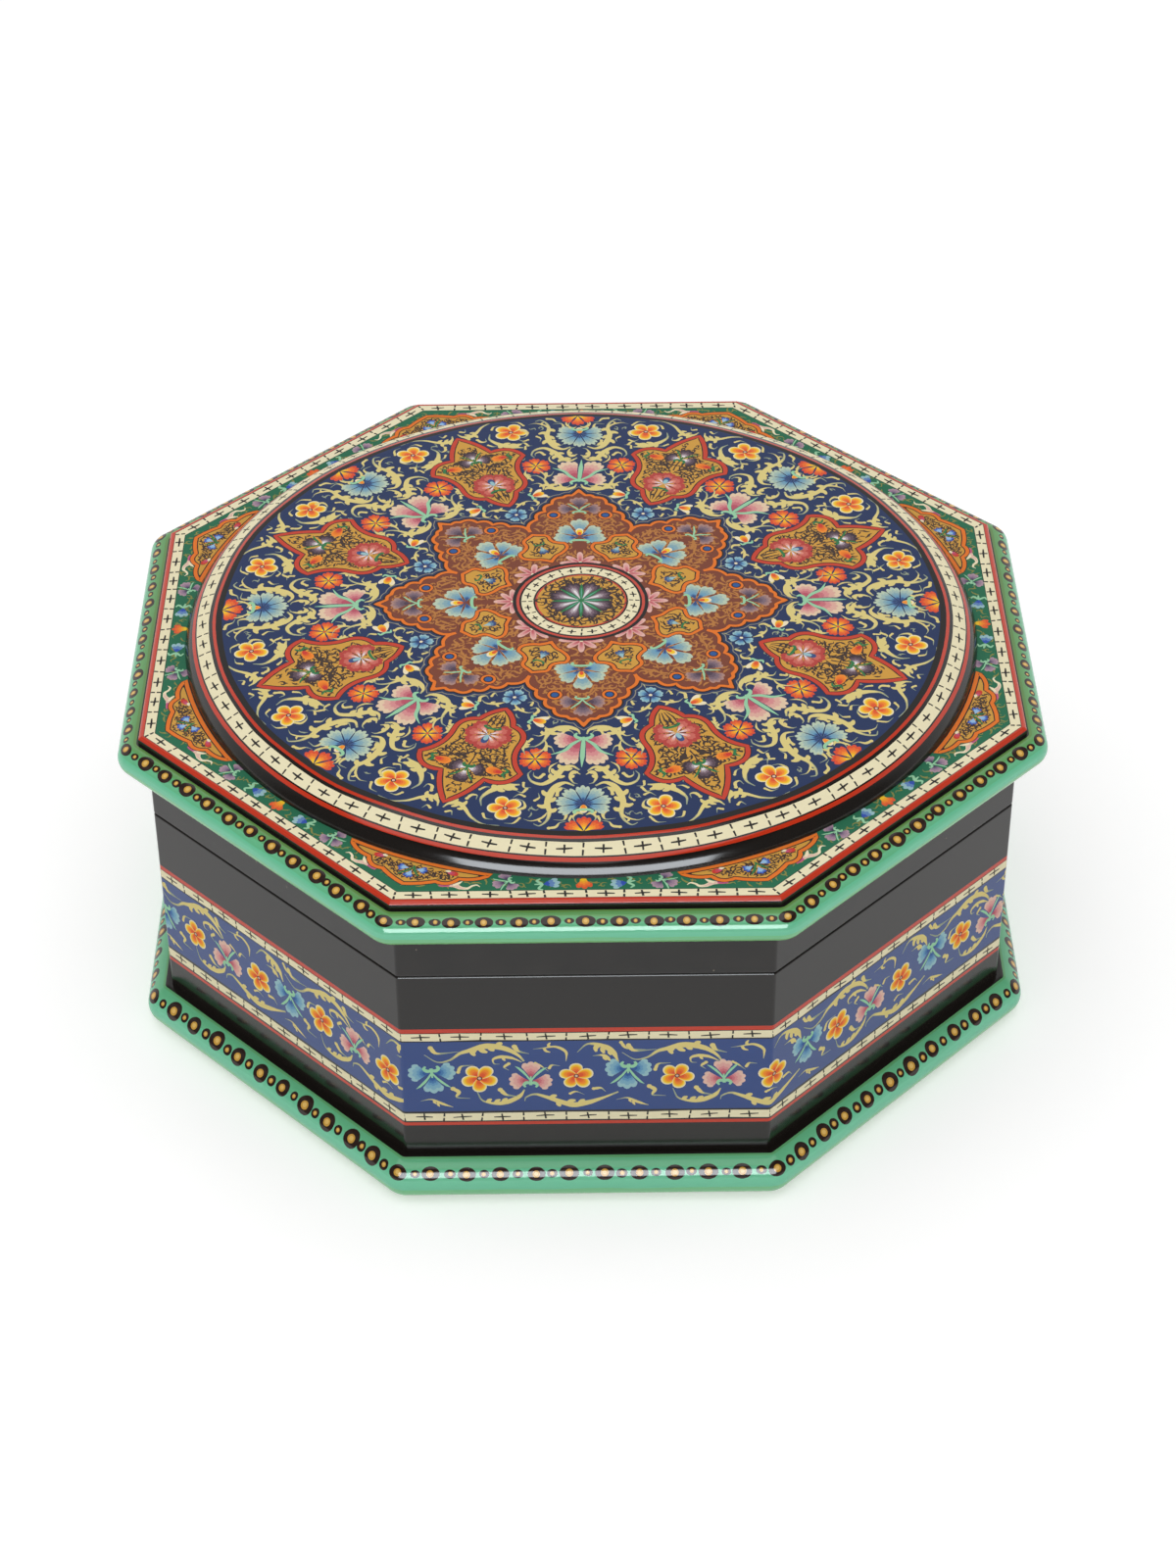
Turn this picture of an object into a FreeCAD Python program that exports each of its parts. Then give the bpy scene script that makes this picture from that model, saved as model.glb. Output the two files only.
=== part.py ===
import FreeCAD, Part
import math
import os

# An eight-sided papier-mache box with a lift-off lid, made of glued boards.
# Millimetres. The origin is at the middle of the underside, +Z is up, and one flat side faces -Y.

# Walls of the box
side_count = 8
wall_across = 234.0        # from flat side to flat side, outside the wall boards
wall_height = 74.8         # from the table to the seam between box and lid
wall_thickness = 6.0
wall_corner_radius = 1.6   # the upright corners, rubbed down before painting
seam_edge_radius = 0.7     # the two worn edges that meet at the seam

# Floor of the box
floor_thickness = 5.0

# Lip that keeps the lid in place
lip_thickness = 3.0
lip_rise = 8.0             # stands this far above the seam
lip_seat = 16.0            # glued to the walls over this depth below the seam
lip_gap = 0.5              # play between the lip and the lid's skirt, all round
lip_top_radius = 0.8

# Half-round moulding at the foot
plinth_height = 12.8
plinth_reach = 7.3         # out from the wall

# Lid
lid_side_height = 24.3     # from the seam to the top of the rim moulding
top_board_thickness = 5.0
rim_height = 8.6
rim_reach = 8.0            # out from the skirt

# Thin octagonal panel on the lid
panel_across = 238.0
panel_thickness = 2.3
panel_edge_radius = 1.2    # its upper edge, rubbed round

# Round domed panel on the lid
dome_foot_radius = 110.1
dome_edge_radius = 107.2   # where the shoulder turns down into the side
dome_field_radius = 98.0   # where the flat crown turns into the shoulder
dome_field_height = 6.9    # above the octagonal panel
dome_shoulder_drop = 2.8
dome_crown_rise = 1.7
dome_shoulder_bulge = 0.62  # how far each arc of the outline stands off its chord
dome_edge_bulge = 0.45

# Worked out from the sizes above
half_turn = math.pi
corner_step = 360.0 / side_count
half_corner = half_turn / side_count
wall_apothem = wall_across / 2
wall_inner_apothem = wall_apothem - wall_thickness
lip_inner_apothem = wall_inner_apothem - lip_thickness
skirt_inner_apothem = wall_inner_apothem + lip_gap
lid_top = wall_height + lid_side_height
top_board_bottom = lid_top - top_board_thickness
panel_top = lid_top + panel_thickness
dome_field_top = panel_top + dome_field_height
dome_shoulder_bottom = dome_field_top - dome_shoulder_drop
overrun = wall_thickness   # how far a cutting shape runs past what it cuts
same_height = seam_edge_radius / 10  # edges closer to a height than this lie at it

UP = FreeCAD.Vector(0, 0, 1)
AXIS_POINT = FreeCAD.Vector(0, 0, 0)


def vector(x, y, z):
    return FreeCAD.Vector(x, y, z)


def corner_distance(apothem):
    """From the axis to a corner of an octagon with this apothem."""
    return apothem / math.cos(half_corner)


def octagon_outline(apothem, z, corner_radius=0):
    """Closed octagon wire with a flat towards -Y, its corners rounded if a radius is given."""
    corners = []
    for index in range(side_count):
        angle = -half_turn / 2 + half_corner * (2 * index + 1)
        reach = corner_distance(apothem)
        corners.append(vector(reach * math.cos(angle), reach * math.sin(angle), z))
    if not corner_radius:
        return Part.makePolygon(corners + corners[:1])
    cut_back = corner_radius * math.tan(half_corner)
    edges = []
    rounded = []
    for index, corner in enumerate(corners):
        before = corners[index - 1]
        after = corners[(index + 1) % side_count]
        towards_before = (before - corner).normalize()
        towards_after = (after - corner).normalize()
        start = corner + towards_before * cut_back
        end = corner + towards_after * cut_back
        inward = (vector(0, 0, z) - corner).normalize()
        centre = corner + inward * (corner_radius / math.cos(half_corner))
        middle = centre - inward * corner_radius
        rounded.append((start, middle, end))
    for index, (start, middle, end) in enumerate(rounded):
        edges.append(Part.Arc(start, middle, end).toShape())
        next_start = rounded[(index + 1) % side_count][0]
        edges.append(Part.LineSegment(end, next_start).toShape())
    return Part.Wire(Part.__sortEdges__(edges))


def octagon_block(apothem, bottom, top, corner_radius=0):
    face = Part.Face(octagon_outline(apothem, bottom, corner_radius))
    return face.extrude(UP * (top - bottom))


def side_sector(apothem, bottom, top):
    """Wedge from the axis over the side that faces -Y, which mitres a piece at both of its corners."""
    reach = corner_distance(apothem + overrun)
    left = -half_turn / 2 - half_corner
    right = -half_turn / 2 + half_corner
    points = [
        vector(0, 0, bottom),
        vector(reach * math.cos(left), reach * math.sin(left), bottom),
        vector(reach * math.cos(right), reach * math.sin(right), bottom),
        vector(0, 0, bottom),
    ]
    return Part.Face(Part.makePolygon(points)).extrude(UP * (top - bottom))


def horizontal_edges_at(shape, z, inside_apothem, outside_apothem):
    """Edges that lie at one height and between two octagons, for rounding."""
    found = []
    for edge in shape.Edges:
        box = edge.BoundBox
        if box.ZLength > same_height or abs(box.ZMin - z) > same_height:
            continue
        middle = edge.valueAt((edge.FirstParameter + edge.LastParameter) / 2)
        reach = math.hypot(middle.x, middle.y)
        if inside_apothem < reach < corner_distance(outside_apothem) + same_height:
            found.append(edge)
    return found


def mitred_boards(outer_apothem, inner_apothem, bottom, top, corner_radius, rounded_height=None, rounding=0):
    """The eight mitred boards of one ring, in order from the one that faces -Y, turning to +X."""
    ring = octagon_block(outer_apothem, bottom, top, corner_radius)
    if rounding:
        middle_apothem = (outer_apothem + inner_apothem) / 2
        ring = ring.makeFillet(rounding, horizontal_edges_at(ring, rounded_height, middle_apothem, outer_apothem))
    ring = ring.cut(octagon_block(inner_apothem, bottom - overrun, top + overrun))
    board = ring.common(side_sector(outer_apothem, bottom - overrun, top + overrun))
    return turned_copies(board.Solids[0])


def turned_copies(solid):
    copies = []
    for index in range(side_count):
        turned = solid.copy()
        turned.rotate(AXIS_POINT, UP, index * corner_step)
        copies.append(turned)
    return copies


def moulding_profile(x, height, reach, bottom):
    """Half-round section that stands out towards -Y from the wall, with a narrow flat top and bottom."""
    round_radius = height / 2
    flat = reach - round_radius
    middle = bottom + round_radius
    wall = -wall_apothem
    inner_low = vector(x, wall, bottom)
    outer_low = vector(x, wall - flat, bottom)
    nose = vector(x, wall - reach, middle)
    outer_high = vector(x, wall - flat, bottom + height)
    inner_high = vector(x, wall, bottom + height)
    edges = [
        Part.LineSegment(inner_low, outer_low).toShape(),
        Part.Arc(outer_low, nose, outer_high).toShape(),
        Part.LineSegment(outer_high, inner_high).toShape(),
        Part.LineSegment(inner_high, inner_low).toShape(),
    ]
    return Part.Face(Part.Wire(edges))


def moulding_lengths(height, reach, bottom):
    """Eight lengths of half-round moulding: each is straight along its wall and turns round half a corner at each end."""
    half_side = wall_apothem * math.tan(half_corner)
    straight = moulding_profile(-half_side, height, reach, bottom).extrude(vector(2 * half_side, 0, 0))
    half_turn_degrees = corner_step / 2
    right_end = moulding_profile(half_side, height, reach, bottom)
    right_end = right_end.revolve(vector(half_side, -wall_apothem, 0), UP, half_turn_degrees)
    left_end = moulding_profile(-half_side, height, reach, bottom)
    left_end = left_end.revolve(vector(-half_side, -wall_apothem, 0), -UP, half_turn_degrees)
    length = straight.fuse([right_end, left_end]).removeSplitter()
    return turned_copies(length.Solids[0])


def arc_outward(start, end, bulge):
    """Arc down and out from start to end, which stands off its chord by bulge."""
    chord = end - start
    outward = vector(-chord.z, 0, chord.x).normalize()
    middle = (start + end) * 0.5 + outward * bulge
    return Part.Arc(start, middle, end).toShape()


def dome_panel():
    """Round panel: a nearly flat crown, a shoulder that slopes away and a side that turns down to the octagonal panel."""
    axis_top = vector(0, 0, dome_field_top + dome_crown_rise)
    field_edge = vector(dome_field_radius, 0, dome_field_top)
    crown_radius = (dome_field_radius**2 + dome_crown_rise**2) / (2 * dome_crown_rise)
    half_way = dome_field_radius / 2
    half_way_drop = crown_radius - math.sqrt(crown_radius**2 - half_way**2)
    crown_middle = vector(half_way, 0, dome_field_top + dome_crown_rise - half_way_drop)
    shoulder = vector(dome_edge_radius, 0, dome_shoulder_bottom)
    foot = vector(dome_foot_radius, 0, panel_top)
    axis_foot = vector(0, 0, panel_top)
    edges = [
        Part.Arc(axis_top, crown_middle, field_edge).toShape(),
        arc_outward(field_edge, shoulder, dome_shoulder_bulge),
        arc_outward(shoulder, foot, dome_edge_bulge),
        Part.LineSegment(foot, axis_foot).toShape(),
        Part.LineSegment(axis_foot, axis_top).toShape(),
    ]
    outline = Part.Wire(Part.__sortEdges__(edges))
    return Part.Face(outline).revolve(AXIS_POINT, UP, 360)


def octagon_panel():
    """Board a little wider than the lid, so that its edge stands on the rim moulding."""
    panel_apothem = panel_across / 2
    board = octagon_block(panel_apothem, lid_top, panel_top)
    upper_edges = horizontal_edges_at(board, panel_top, panel_apothem - panel_edge_radius, panel_apothem)
    return board.makeFillet(panel_edge_radius, upper_edges)


def box_base():
    """The box: floor, walls, foot moulding and the lip for the lid."""
    pieces = {"floor_board": octagon_block(wall_inner_apothem, 0, floor_thickness)}
    walls = mitred_boards(
        wall_apothem, wall_inner_apothem, 0, wall_height, wall_corner_radius, wall_height, seam_edge_radius
    )
    lips = mitred_boards(
        wall_inner_apothem, lip_inner_apothem, wall_height - lip_seat, wall_height + lip_rise, 0,
        wall_height + lip_rise, lip_top_radius
    )
    plinths = moulding_lengths(plinth_height, plinth_reach, 0)
    for number, (wall, lip, plinth) in enumerate(zip(walls, lips, plinths), start=1):
        pieces[f"wall_board_{number}"] = wall
        pieces[f"lip_board_{number}"] = lip
        pieces[f"plinth_moulding_{number}"] = plinth
    return pieces


def lid():
    """The lid: skirt, top board, rim moulding and the two raised panels."""
    pieces = {
        "lid_top_board": octagon_block(wall_apothem, top_board_bottom, lid_top),
        "lid_octagon_panel": octagon_panel(),
        "lid_dome_panel": dome_panel(),
    }
    skirts = mitred_boards(
        wall_apothem, skirt_inner_apothem, wall_height, top_board_bottom, wall_corner_radius,
        wall_height, seam_edge_radius
    )
    rims = moulding_lengths(rim_height, rim_reach, lid_top - rim_height)
    for number, (skirt, rim) in enumerate(zip(skirts, rims), start=1):
        pieces[f"lid_skirt_board_{number}"] = skirt
        pieces[f"rim_moulding_{number}"] = rim
    return pieces


def main():
    os.makedirs("parts", exist_ok=True)
    pieces = {**box_base(), **lid()}
    for name, solid in pieces.items():
        if not solid.isValid() or len(solid.Solids) != 1:
            raise ValueError(f"{name} is not one valid solid")
        solid.exportStep(f"parts/{name}.step")
        box = solid.BoundBox
        print(f"{name:22} {box.XLength:7.2f} {box.YLength:7.2f} {box.ZLength:7.2f}  z {box.ZMin:6.2f} to {box.ZMax:6.2f}")
    print(len(pieces), "pieces")


main()
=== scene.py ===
import math
import random

import bpy
import numpy as np
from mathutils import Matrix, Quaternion, Vector
from mathutils.geometry import delaunay_2d_cdt


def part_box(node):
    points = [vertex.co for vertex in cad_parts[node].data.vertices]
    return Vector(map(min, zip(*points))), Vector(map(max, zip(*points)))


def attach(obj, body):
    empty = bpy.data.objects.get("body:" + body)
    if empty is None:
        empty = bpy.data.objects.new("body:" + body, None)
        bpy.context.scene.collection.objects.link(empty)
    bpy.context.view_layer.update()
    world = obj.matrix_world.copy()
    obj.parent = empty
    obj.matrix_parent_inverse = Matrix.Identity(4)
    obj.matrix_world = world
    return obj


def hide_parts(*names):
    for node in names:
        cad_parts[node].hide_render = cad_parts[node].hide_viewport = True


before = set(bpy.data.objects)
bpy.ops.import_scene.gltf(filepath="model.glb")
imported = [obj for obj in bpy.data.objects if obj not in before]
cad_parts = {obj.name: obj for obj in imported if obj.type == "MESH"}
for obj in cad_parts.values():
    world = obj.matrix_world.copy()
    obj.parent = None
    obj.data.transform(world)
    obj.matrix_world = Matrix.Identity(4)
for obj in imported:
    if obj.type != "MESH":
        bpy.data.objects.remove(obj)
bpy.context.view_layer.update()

# Floor board
# The octagonal bottom of the box: paper board pasted up in layers and glued inside the walls. It is
# primed, lacquered black and varnished, then rubbed down, which leaves a faint ripple, pores and dust.


def linear(red, green, blue):
    """A paint colour as mixed, 0 to 255, as the light it sends back."""
    shares = [channel / 255 for channel in (red, green, blue)]
    return [s / 12.92 if s <= 0.04045 else ((s + 0.055) / 1.055) ** 2.4 for s in shares]


def noise(tree, where, scale, detail):
    """Noise of this many waves to the metre, from 0 to 1."""
    texture = tree.nodes.new("ShaderNodeTexNoise")
    texture.inputs["Scale"].default_value = scale
    texture.inputs["Detail"].default_value = detail
    tree.links.new(where, texture.inputs["Vector"])
    return texture.outputs["Fac"]


def calculated(tree, operation, first, second=0.0, third=0.0):
    """The result of a sum; each term is a number or another node's output."""
    node = tree.nodes.new("ShaderNodeMath")
    node.operation = operation
    for socket, term in zip(node.inputs, (first, second, third)):
        if isinstance(term, (int, float)):
            socket.default_value = term
        else:
            tree.links.new(term, socket)
    return node.outputs["Value"]


def varnish_group():
    """How a brushed and rubbed varnish lies: its gloss, and its slow ripple, brush marks and dust."""
    group = bpy.data.node_groups.new("varnish", "ShaderNodeTree")
    inputs = {"Polish": 0.08, "Haze": 0.05, "Ripple": 1.2e-5, "Brush marks": 1.5e-6, "Dust": 8e-6}
    for name, value in inputs.items():
        socket = group.interface.new_socket(name, in_out="INPUT", socket_type="NodeSocketFloat")
        socket.default_value = value
    for name in ("Roughness", "Height", "Dust mask"):
        group.interface.new_socket(name, in_out="OUTPUT", socket_type="NodeSocketFloat")
    given = group.nodes.new("NodeGroupInput").outputs
    result = group.nodes.new("NodeGroupOutput").inputs
    place = group.nodes.new("ShaderNodeTexCoord").outputs["Object"]
    haze = calculated(group, "MULTIPLY", noise(group, place, 55, 4), given["Haze"])
    smear = calculated(group, "MULTIPLY", noise(group, place, 700, 3), given["Haze"])
    ripple = calculated(group, "MULTIPLY", noise(group, place, 38, 1), given["Ripple"])
    marks = calculated(group, "MULTIPLY", noise(group, place, 900, 2), given["Brush marks"])
    # A speck of dust every 7 mm or so, some half a millimetre across
    cells = group.nodes.new("ShaderNodeTexVoronoi")
    cells.inputs["Scale"].default_value = 150
    group.links.new(place, cells.inputs["Vector"])
    speck = calculated(group, "LESS_THAN", cells.outputs["Distance"], 0.035)
    dust = calculated(group, "MULTIPLY", speck, given["Dust"])
    gloss = calculated(group, "ADD", calculated(group, "ADD", haze, smear), given["Polish"])
    height = calculated(group, "ADD", calculated(group, "ADD", ripple, marks), dust)
    group.links.new(gloss, result["Roughness"])
    group.links.new(height, result["Height"])
    group.links.new(speck, result["Dust mask"])
    return group


VARNISH = varnish_group()


def varnished(name, colour, polish=0.08, shine=0.5, painted_sheen=0.0):
    """A material of one paint under the varnish; its colour can be lifted evenly towards white, a painted
    sheen.
    """
    material = bpy.data.materials.new(name)
    material.use_nodes = True
    tree = material.node_tree
    shader = tree.nodes["Principled BSDF"]
    # Painted sheen: the colour is lifted evenly towards white, standing in for the reflection on the varnish
    sheen_lifted = [level + painted_sheen * (1 - level) for level in linear(*colour)]
    shader.inputs["Base Color"].default_value = (*sheen_lifted, 1)
    shader.inputs["Specular IOR Level"].default_value = shine
    film = tree.nodes.new("ShaderNodeGroup")
    film.node_tree = VARNISH
    film.inputs["Polish"].default_value = polish
    bump = tree.nodes.new("ShaderNodeBump")
    bump.inputs["Distance"].default_value = 1.0
    tree.links.new(film.outputs["Roughness"], shader.inputs["Roughness"])
    tree.links.new(film.outputs["Height"], bump.inputs["Height"])
    tree.links.new(bump.outputs["Normal"], shader.inputs["Normal"])
    material["film"] = film.name
    return material


def black_lacquer(name, polish, worn=0.0):
    """Bare black lacquer: not quite even in tone, with pale dust specks caught under the varnish."""
    material = varnished(name, (24, 21, 19), polish)
    tree = material.node_tree
    place = tree.nodes.new("ShaderNodeTexCoord").outputs["Object"]
    tone = tree.nodes.new("ShaderNodeValToRGB")
    tone.color_ramp.elements[0].color = (*linear(20, 17, 15), 1)
    tone.color_ramp.elements[0].position = 0.35
    tone.color_ramp.elements[1].color = (*linear(33 + worn * 40, 29 + worn * 36, 26 + worn * 32), 1)
    tone.color_ramp.elements[1].position = 0.75
    tree.links.new(noise(tree, place, 120, 5), tone.inputs["Fac"])
    speckled = tree.nodes.new("ShaderNodeMix")
    speckled.data_type = "RGBA"
    speckled.inputs["B"].default_value = (*linear(112, 104, 90), 1)
    tree.links.new(tone.outputs["Color"], speckled.inputs["A"])
    tree.links.new(tree.nodes[material["film"]].outputs["Dust mask"], speckled.inputs["Factor"])
    tree.links.new(speckled.outputs["Result"], tree.nodes["Principled BSDF"].inputs["Base Color"])
    return material


def dressed(nodes, material):
    """Gives CAD pieces that keep their own shape their finish."""
    for node in nodes:
        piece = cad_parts[node]
        piece.data.materials.clear()
        piece.data.materials.append(material)


dressed(["floor_board"], black_lacquer("floor black lacquer", 0.22, worn=0.3))

# Wall boards
# Eight mitred boards of pasted paper, 6 mm thick, with the upright corners and the seam edge rubbed
# round. On black lacquer each carries a blue band of flowers and scrolling leaves in body colour,
# ruled in with cream, red and black lines by brush, all under the varnish.
MM = 0.001
SIDES = range(1, 9)
SIDE_TURN = 360 / len(SIDES)
HALF_CORNER = math.radians(SIDE_TURN / 2)
wall_low, wall_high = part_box("wall_board_1")
WALL_FACE = -wall_low.y / MM
WALL_BACK = -wall_high.y / MM
SEAM = wall_high.z / MM
CORNER_RADIUS = 1.6
SEAM_RADIUS = 0.7
WALL_STRAIGHT = WALL_FACE * math.tan(HALF_CORNER) - CORNER_RADIUS * math.tan(HALF_CORNER)
WALL_END = WALL_STRAIGHT + CORNER_RADIUS * HALF_CORNER
SIDE_LENGTH = 2 * WALL_END
WALL_TOP = SEAM - SEAM_RADIUS + SEAM_RADIUS * math.pi / 2

PAINTS = {}
# Rubbed-down paints: a softer gloss, and a slight painted sheen that lifts every colour evenly towards white
RUBBED_GLOSS_AND_PAINTED_SHEEN = {"polish": 0.45, "shine": 0.12, "painted_sheen": 0.02}


def paint(name, *colour, rubbed=True):
    """The material of one mixed paint, made once: rubbed down to a soft gloss with a slight painted sheen
    that lifts its colour, or with the full gloss.
    """
    if name not in PAINTS:
        PAINTS[name] = varnished(name, colour, **(RUBBED_GLOSS_AND_PAINTED_SHEEN if rubbed else {}))
        PAINTS[name]["mix"] = colour
        PAINTS[name]["rubbed"] = rubbed
    return PAINTS[name]


def mixed(first, second):
    """Two paints stirred together, half of each."""
    blend = [a + (b - a) * 0.5 for a, b in zip(first["mix"], second["mix"])]
    return paint(f"{first.name} with {second.name}", *blend, rubbed=first["rubbed"])


def spots(*pairs):
    """Places in a flat layout as complex numbers: real part to the right, imaginary part up."""
    return np.array([complex(across, up) for across, up in pairs])


def curve(points, steps=5):
    """A smooth line through a few given places."""
    p = np.asarray(points, dtype=complex)
    p = np.concatenate([[2 * p[0] - p[1]], p, [2 * p[-1] - p[-2]]])
    t = np.linspace(0, 1, steps, endpoint=False)[:, None]
    a, b, c, d = p[:-3], p[1:-2], p[2:-1], p[3:]
    line = b + 0.5 * ((c - a) * t + (2 * a - 5 * b + 4 * c - d) * t**2 + (3 * b - a - 3 * c + d) * t**3)
    return np.append(line.T.ravel(), p[-2])


def brushed(line, widths):
    """The edge of a brush stroke along a line, its width eased from one value to the next."""
    line = line[np.append(True, np.abs(np.diff(line)) > 0.01)]
    share = np.linspace(0, 1, len(line))
    half = np.interp(share, np.linspace(0, 1, len(widths)), widths) / 2
    ahead = np.gradient(line)
    side = 1j * ahead / np.abs(ahead) * half
    return np.concatenate([line + side, (line - side)[::-1]])


def tapered(line, full_width, *shares):
    """A brush stroke as wide as these shares of its full width, from its start to its end."""
    return brushed(line, [full_width * share for share in shares])


def placed(shapes, at=0, turn=0.0, size=1.0, mirrored=False):
    """The same painted shapes mirrored left to right, scaled, turned by degrees and moved."""
    turned = size * np.exp(1j * math.radians(turn))
    return [(colour, at + turned * (-shape.conj() if mirrored else shape)) for colour, shape in shapes]


def mirrored_pair(shapes):
    """Shapes and their mirror image, left and right."""
    return shapes + placed(shapes, mirrored=True)


def disc(colour, centre, radius, count=16):
    """A round spot, drawn with this many corners."""
    return colour, centre + radius * np.exp(2j * math.pi * np.arange(count) / count)


def bar(colour, left, right, low, high):
    """An upright rectangle."""
    return colour, spots((left, low), (right, low), (right, high), (left, high))


def round_petal(length, width):
    """A plump petal that stands up from its foot at the origin."""
    turn = np.linspace(0, 2 * math.pi, 18, endpoint=False)
    up = length * (1 - np.cos(turn)) / 2
    return width / 2 * np.sin(turn) * (0.62 + 0.38 * up / length) + 1j * up


def scalloped_petal(length, spread, lobes, depth):
    """A petal that opens from its foot to a scalloped edge; spread is its opening in degrees."""
    half = math.radians(spread) / 2
    share = np.linspace(1, -1, 4 * lobes + 1)
    notches = 1 - np.abs(np.sin(math.pi * lobes * (share + 1) / 2))
    edge = length * (1 - 0.15 * share**2) * (1 - depth * notches) * np.exp(1j * (math.pi / 2 + half * share))
    flanks = length * np.array([0.35, 0.65]) * np.exp(1j * (math.pi / 2 + half * np.array([0.72, 0.94])))
    return np.concatenate([[1j * length * 0.05], flanks, edge, -flanks[::-1].conj()])


def toned(petal, tones):
    """A petal shaded from its edge to its foot, with a mix between each two tones.

    A tone is (paint, share of the length, share of the width)."""
    shapes = []
    for number, (colour, long, wide) in enumerate(tones):
        if number:
            before, longer, wider = tones[number - 1]
            between = petal.real * (wide + wider) / 2 + 1j * petal.imag * (long + longer) / 2
            shapes.append((mixed(before, colour), between))
        shapes.append((colour, petal.real * wide + 1j * petal.imag * long))
    return shapes


def ring_of(petal_shapes, count, first=0.0, spread=360.0):
    """Petals round the origin, spread evenly; the first one is turned by this many degrees."""
    step = spread / count
    shapes = []
    for index in range(count):
        shapes += placed(petal_shapes, turn=first + step * index)
    return shapes


CREAM = paint("cream", 238, 228, 190)
RED_LINE = paint("red line", 196, 52, 24, rubbed=False)
BLACK = paint("black lacquer", 26, 22, 19, rubbed=False)
INK = paint("black line", 22, 17, 14)
WALL_BLUE = paint("wall blue", 38, 67, 128, rubbed=False)
LEAF = paint("pale yellow leaf", 222, 204, 128)
LEAF_FADED = paint("faded leaf", 150, 160, 132)
MINT = paint("mint", 150, 206, 164)
EGG_WHITE = paint("egg white", 240, 226, 190)
YELLOW = paint("yellow", 246, 198, 20)
ORANGE = paint("orange", 244, 138, 32)
ORANGE_RED = paint("orange red", 226, 84, 34)
PALE_PINK = paint("pale pink", 226, 188, 170)
PALE_BLUE = paint("pale blue", 150, 190, 196)
MID_BLUE = paint("mid blue", 96, 150, 186)
DEEP_BLUE = paint("deep blue", 34, 84, 150)
MID_PINK = paint("mid pink", 214, 140, 140)
ROSE = paint("rose", 184, 78, 98)


def orange_blossom(rng):
    """Five round petals, white at the edge, yellow and then orange towards a dark eye."""
    tones = ((EGG_WHITE, 1.0, 1.0), (YELLOW, 0.86, 0.8), (ORANGE, 0.7, 0.56), (ORANGE_RED, 0.42, 0.36))
    petals = ring_of(toned(round_petal(1.0, 0.93), tones), 5, rng.uniform(0, 72))
    return petals + [disc(INK, 0, 0.15, 10), disc(PALE_PINK, 0, 0.09, 8)]


def three_petalled(edge, middle, throat, leaf):
    """A flower of three scalloped petals that hangs from its calyx, with two thin leaves between them."""
    tones = ((edge, 1.0, 1.0), (middle, 0.62, 0.54), (throat, 0.36, 0.25))
    shapes = mirrored_pair(placed(toned(scalloped_petal(6.3, 82, 4, 0.1), tones), 0.3 + 1.3j, -84))
    shapes += placed(toned(scalloped_petal(7.3, 60, 3, 0.1), tones), 1j, 180)
    stem = curve(spots((0.1, 1.4), (1.5, -1.0), (3.4, -3.2), (4.7, -4.2)))
    shapes += mirrored_pair([(leaf, brushed(stem, (0.45, 0.62, 0.8, 0.66, 0.1)))])
    shapes.append((leaf, brushed(spots((0, 3.2), (0, 1.4), (0, -0.4)), (0.9, 0.8, 0.4))))
    horn = curve(spots((0, 2.4), (1.2, 2.2), (2.0, 3.1), (1.5, 4.0)))
    return shapes + mirrored_pair([(leaf, brushed(horn, (1.0, 1.2, 0.95, 0.6)))])


def scroll(places, width, lobes=(), faded=LEAF_FADED, full=LEAF):
    """A scrolling leaf: a stroke that swells and runs out thin and faded at both ends.

    A lobe is (share of the way along, length, lean in degrees): a blunt finger off the leaf's side."""
    line = curve(places)
    count = len(line)
    stem = line[: int(count * 0.88)]
    body = line[int(count * 0.07) : max(5, int(count * 0.74))]
    shapes = [
        (faded, tapered(line, width, 0.3, 0.55, 0.62, 0.5, 0.34, 0.12)),
        (mixed(faded, full), tapered(stem, width, 0.2, 0.66, 0.8, 0.6, 0.1)),
        (full, tapered(body, width, 0.2, 0.85, 1.0, 0.75, 0.12)),
    ]
    for share, length, lean in lobes:
        spot = int(share * (count - 2))
        ahead = (line[spot + 1] - line[spot]) / abs(line[spot + 1] - line[spot])
        foot = line[spot] - ahead * width * 0.3
        tip = foot + length * ahead * np.exp(1j * math.radians(lean))
        bend = (foot + tip) / 2 + (tip - foot) * 1j * math.copysign(0.2, -lean)
        shapes.append((full, tapered(curve([foot, bend, tip], steps=4), width, 0.9, 0.95, 0.8, 0.6, 0.3)))
    return shapes


def comma(places, width):
    """A small curled stroke, fat at its head and thin at its tail."""
    line = curve(places)
    body = line[: max(4, int(len(line) * 0.7))]
    return [
        (LEAF_FADED, tapered(line, width, 0.8, 1.0, 0.7, 0.36, 0.12)),
        (LEAF, tapered(body, width, 0.8, 1.05, 0.8, 0.15)),
        disc(LEAF, line[0], 0.6 * width, 9),
    ]


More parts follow.
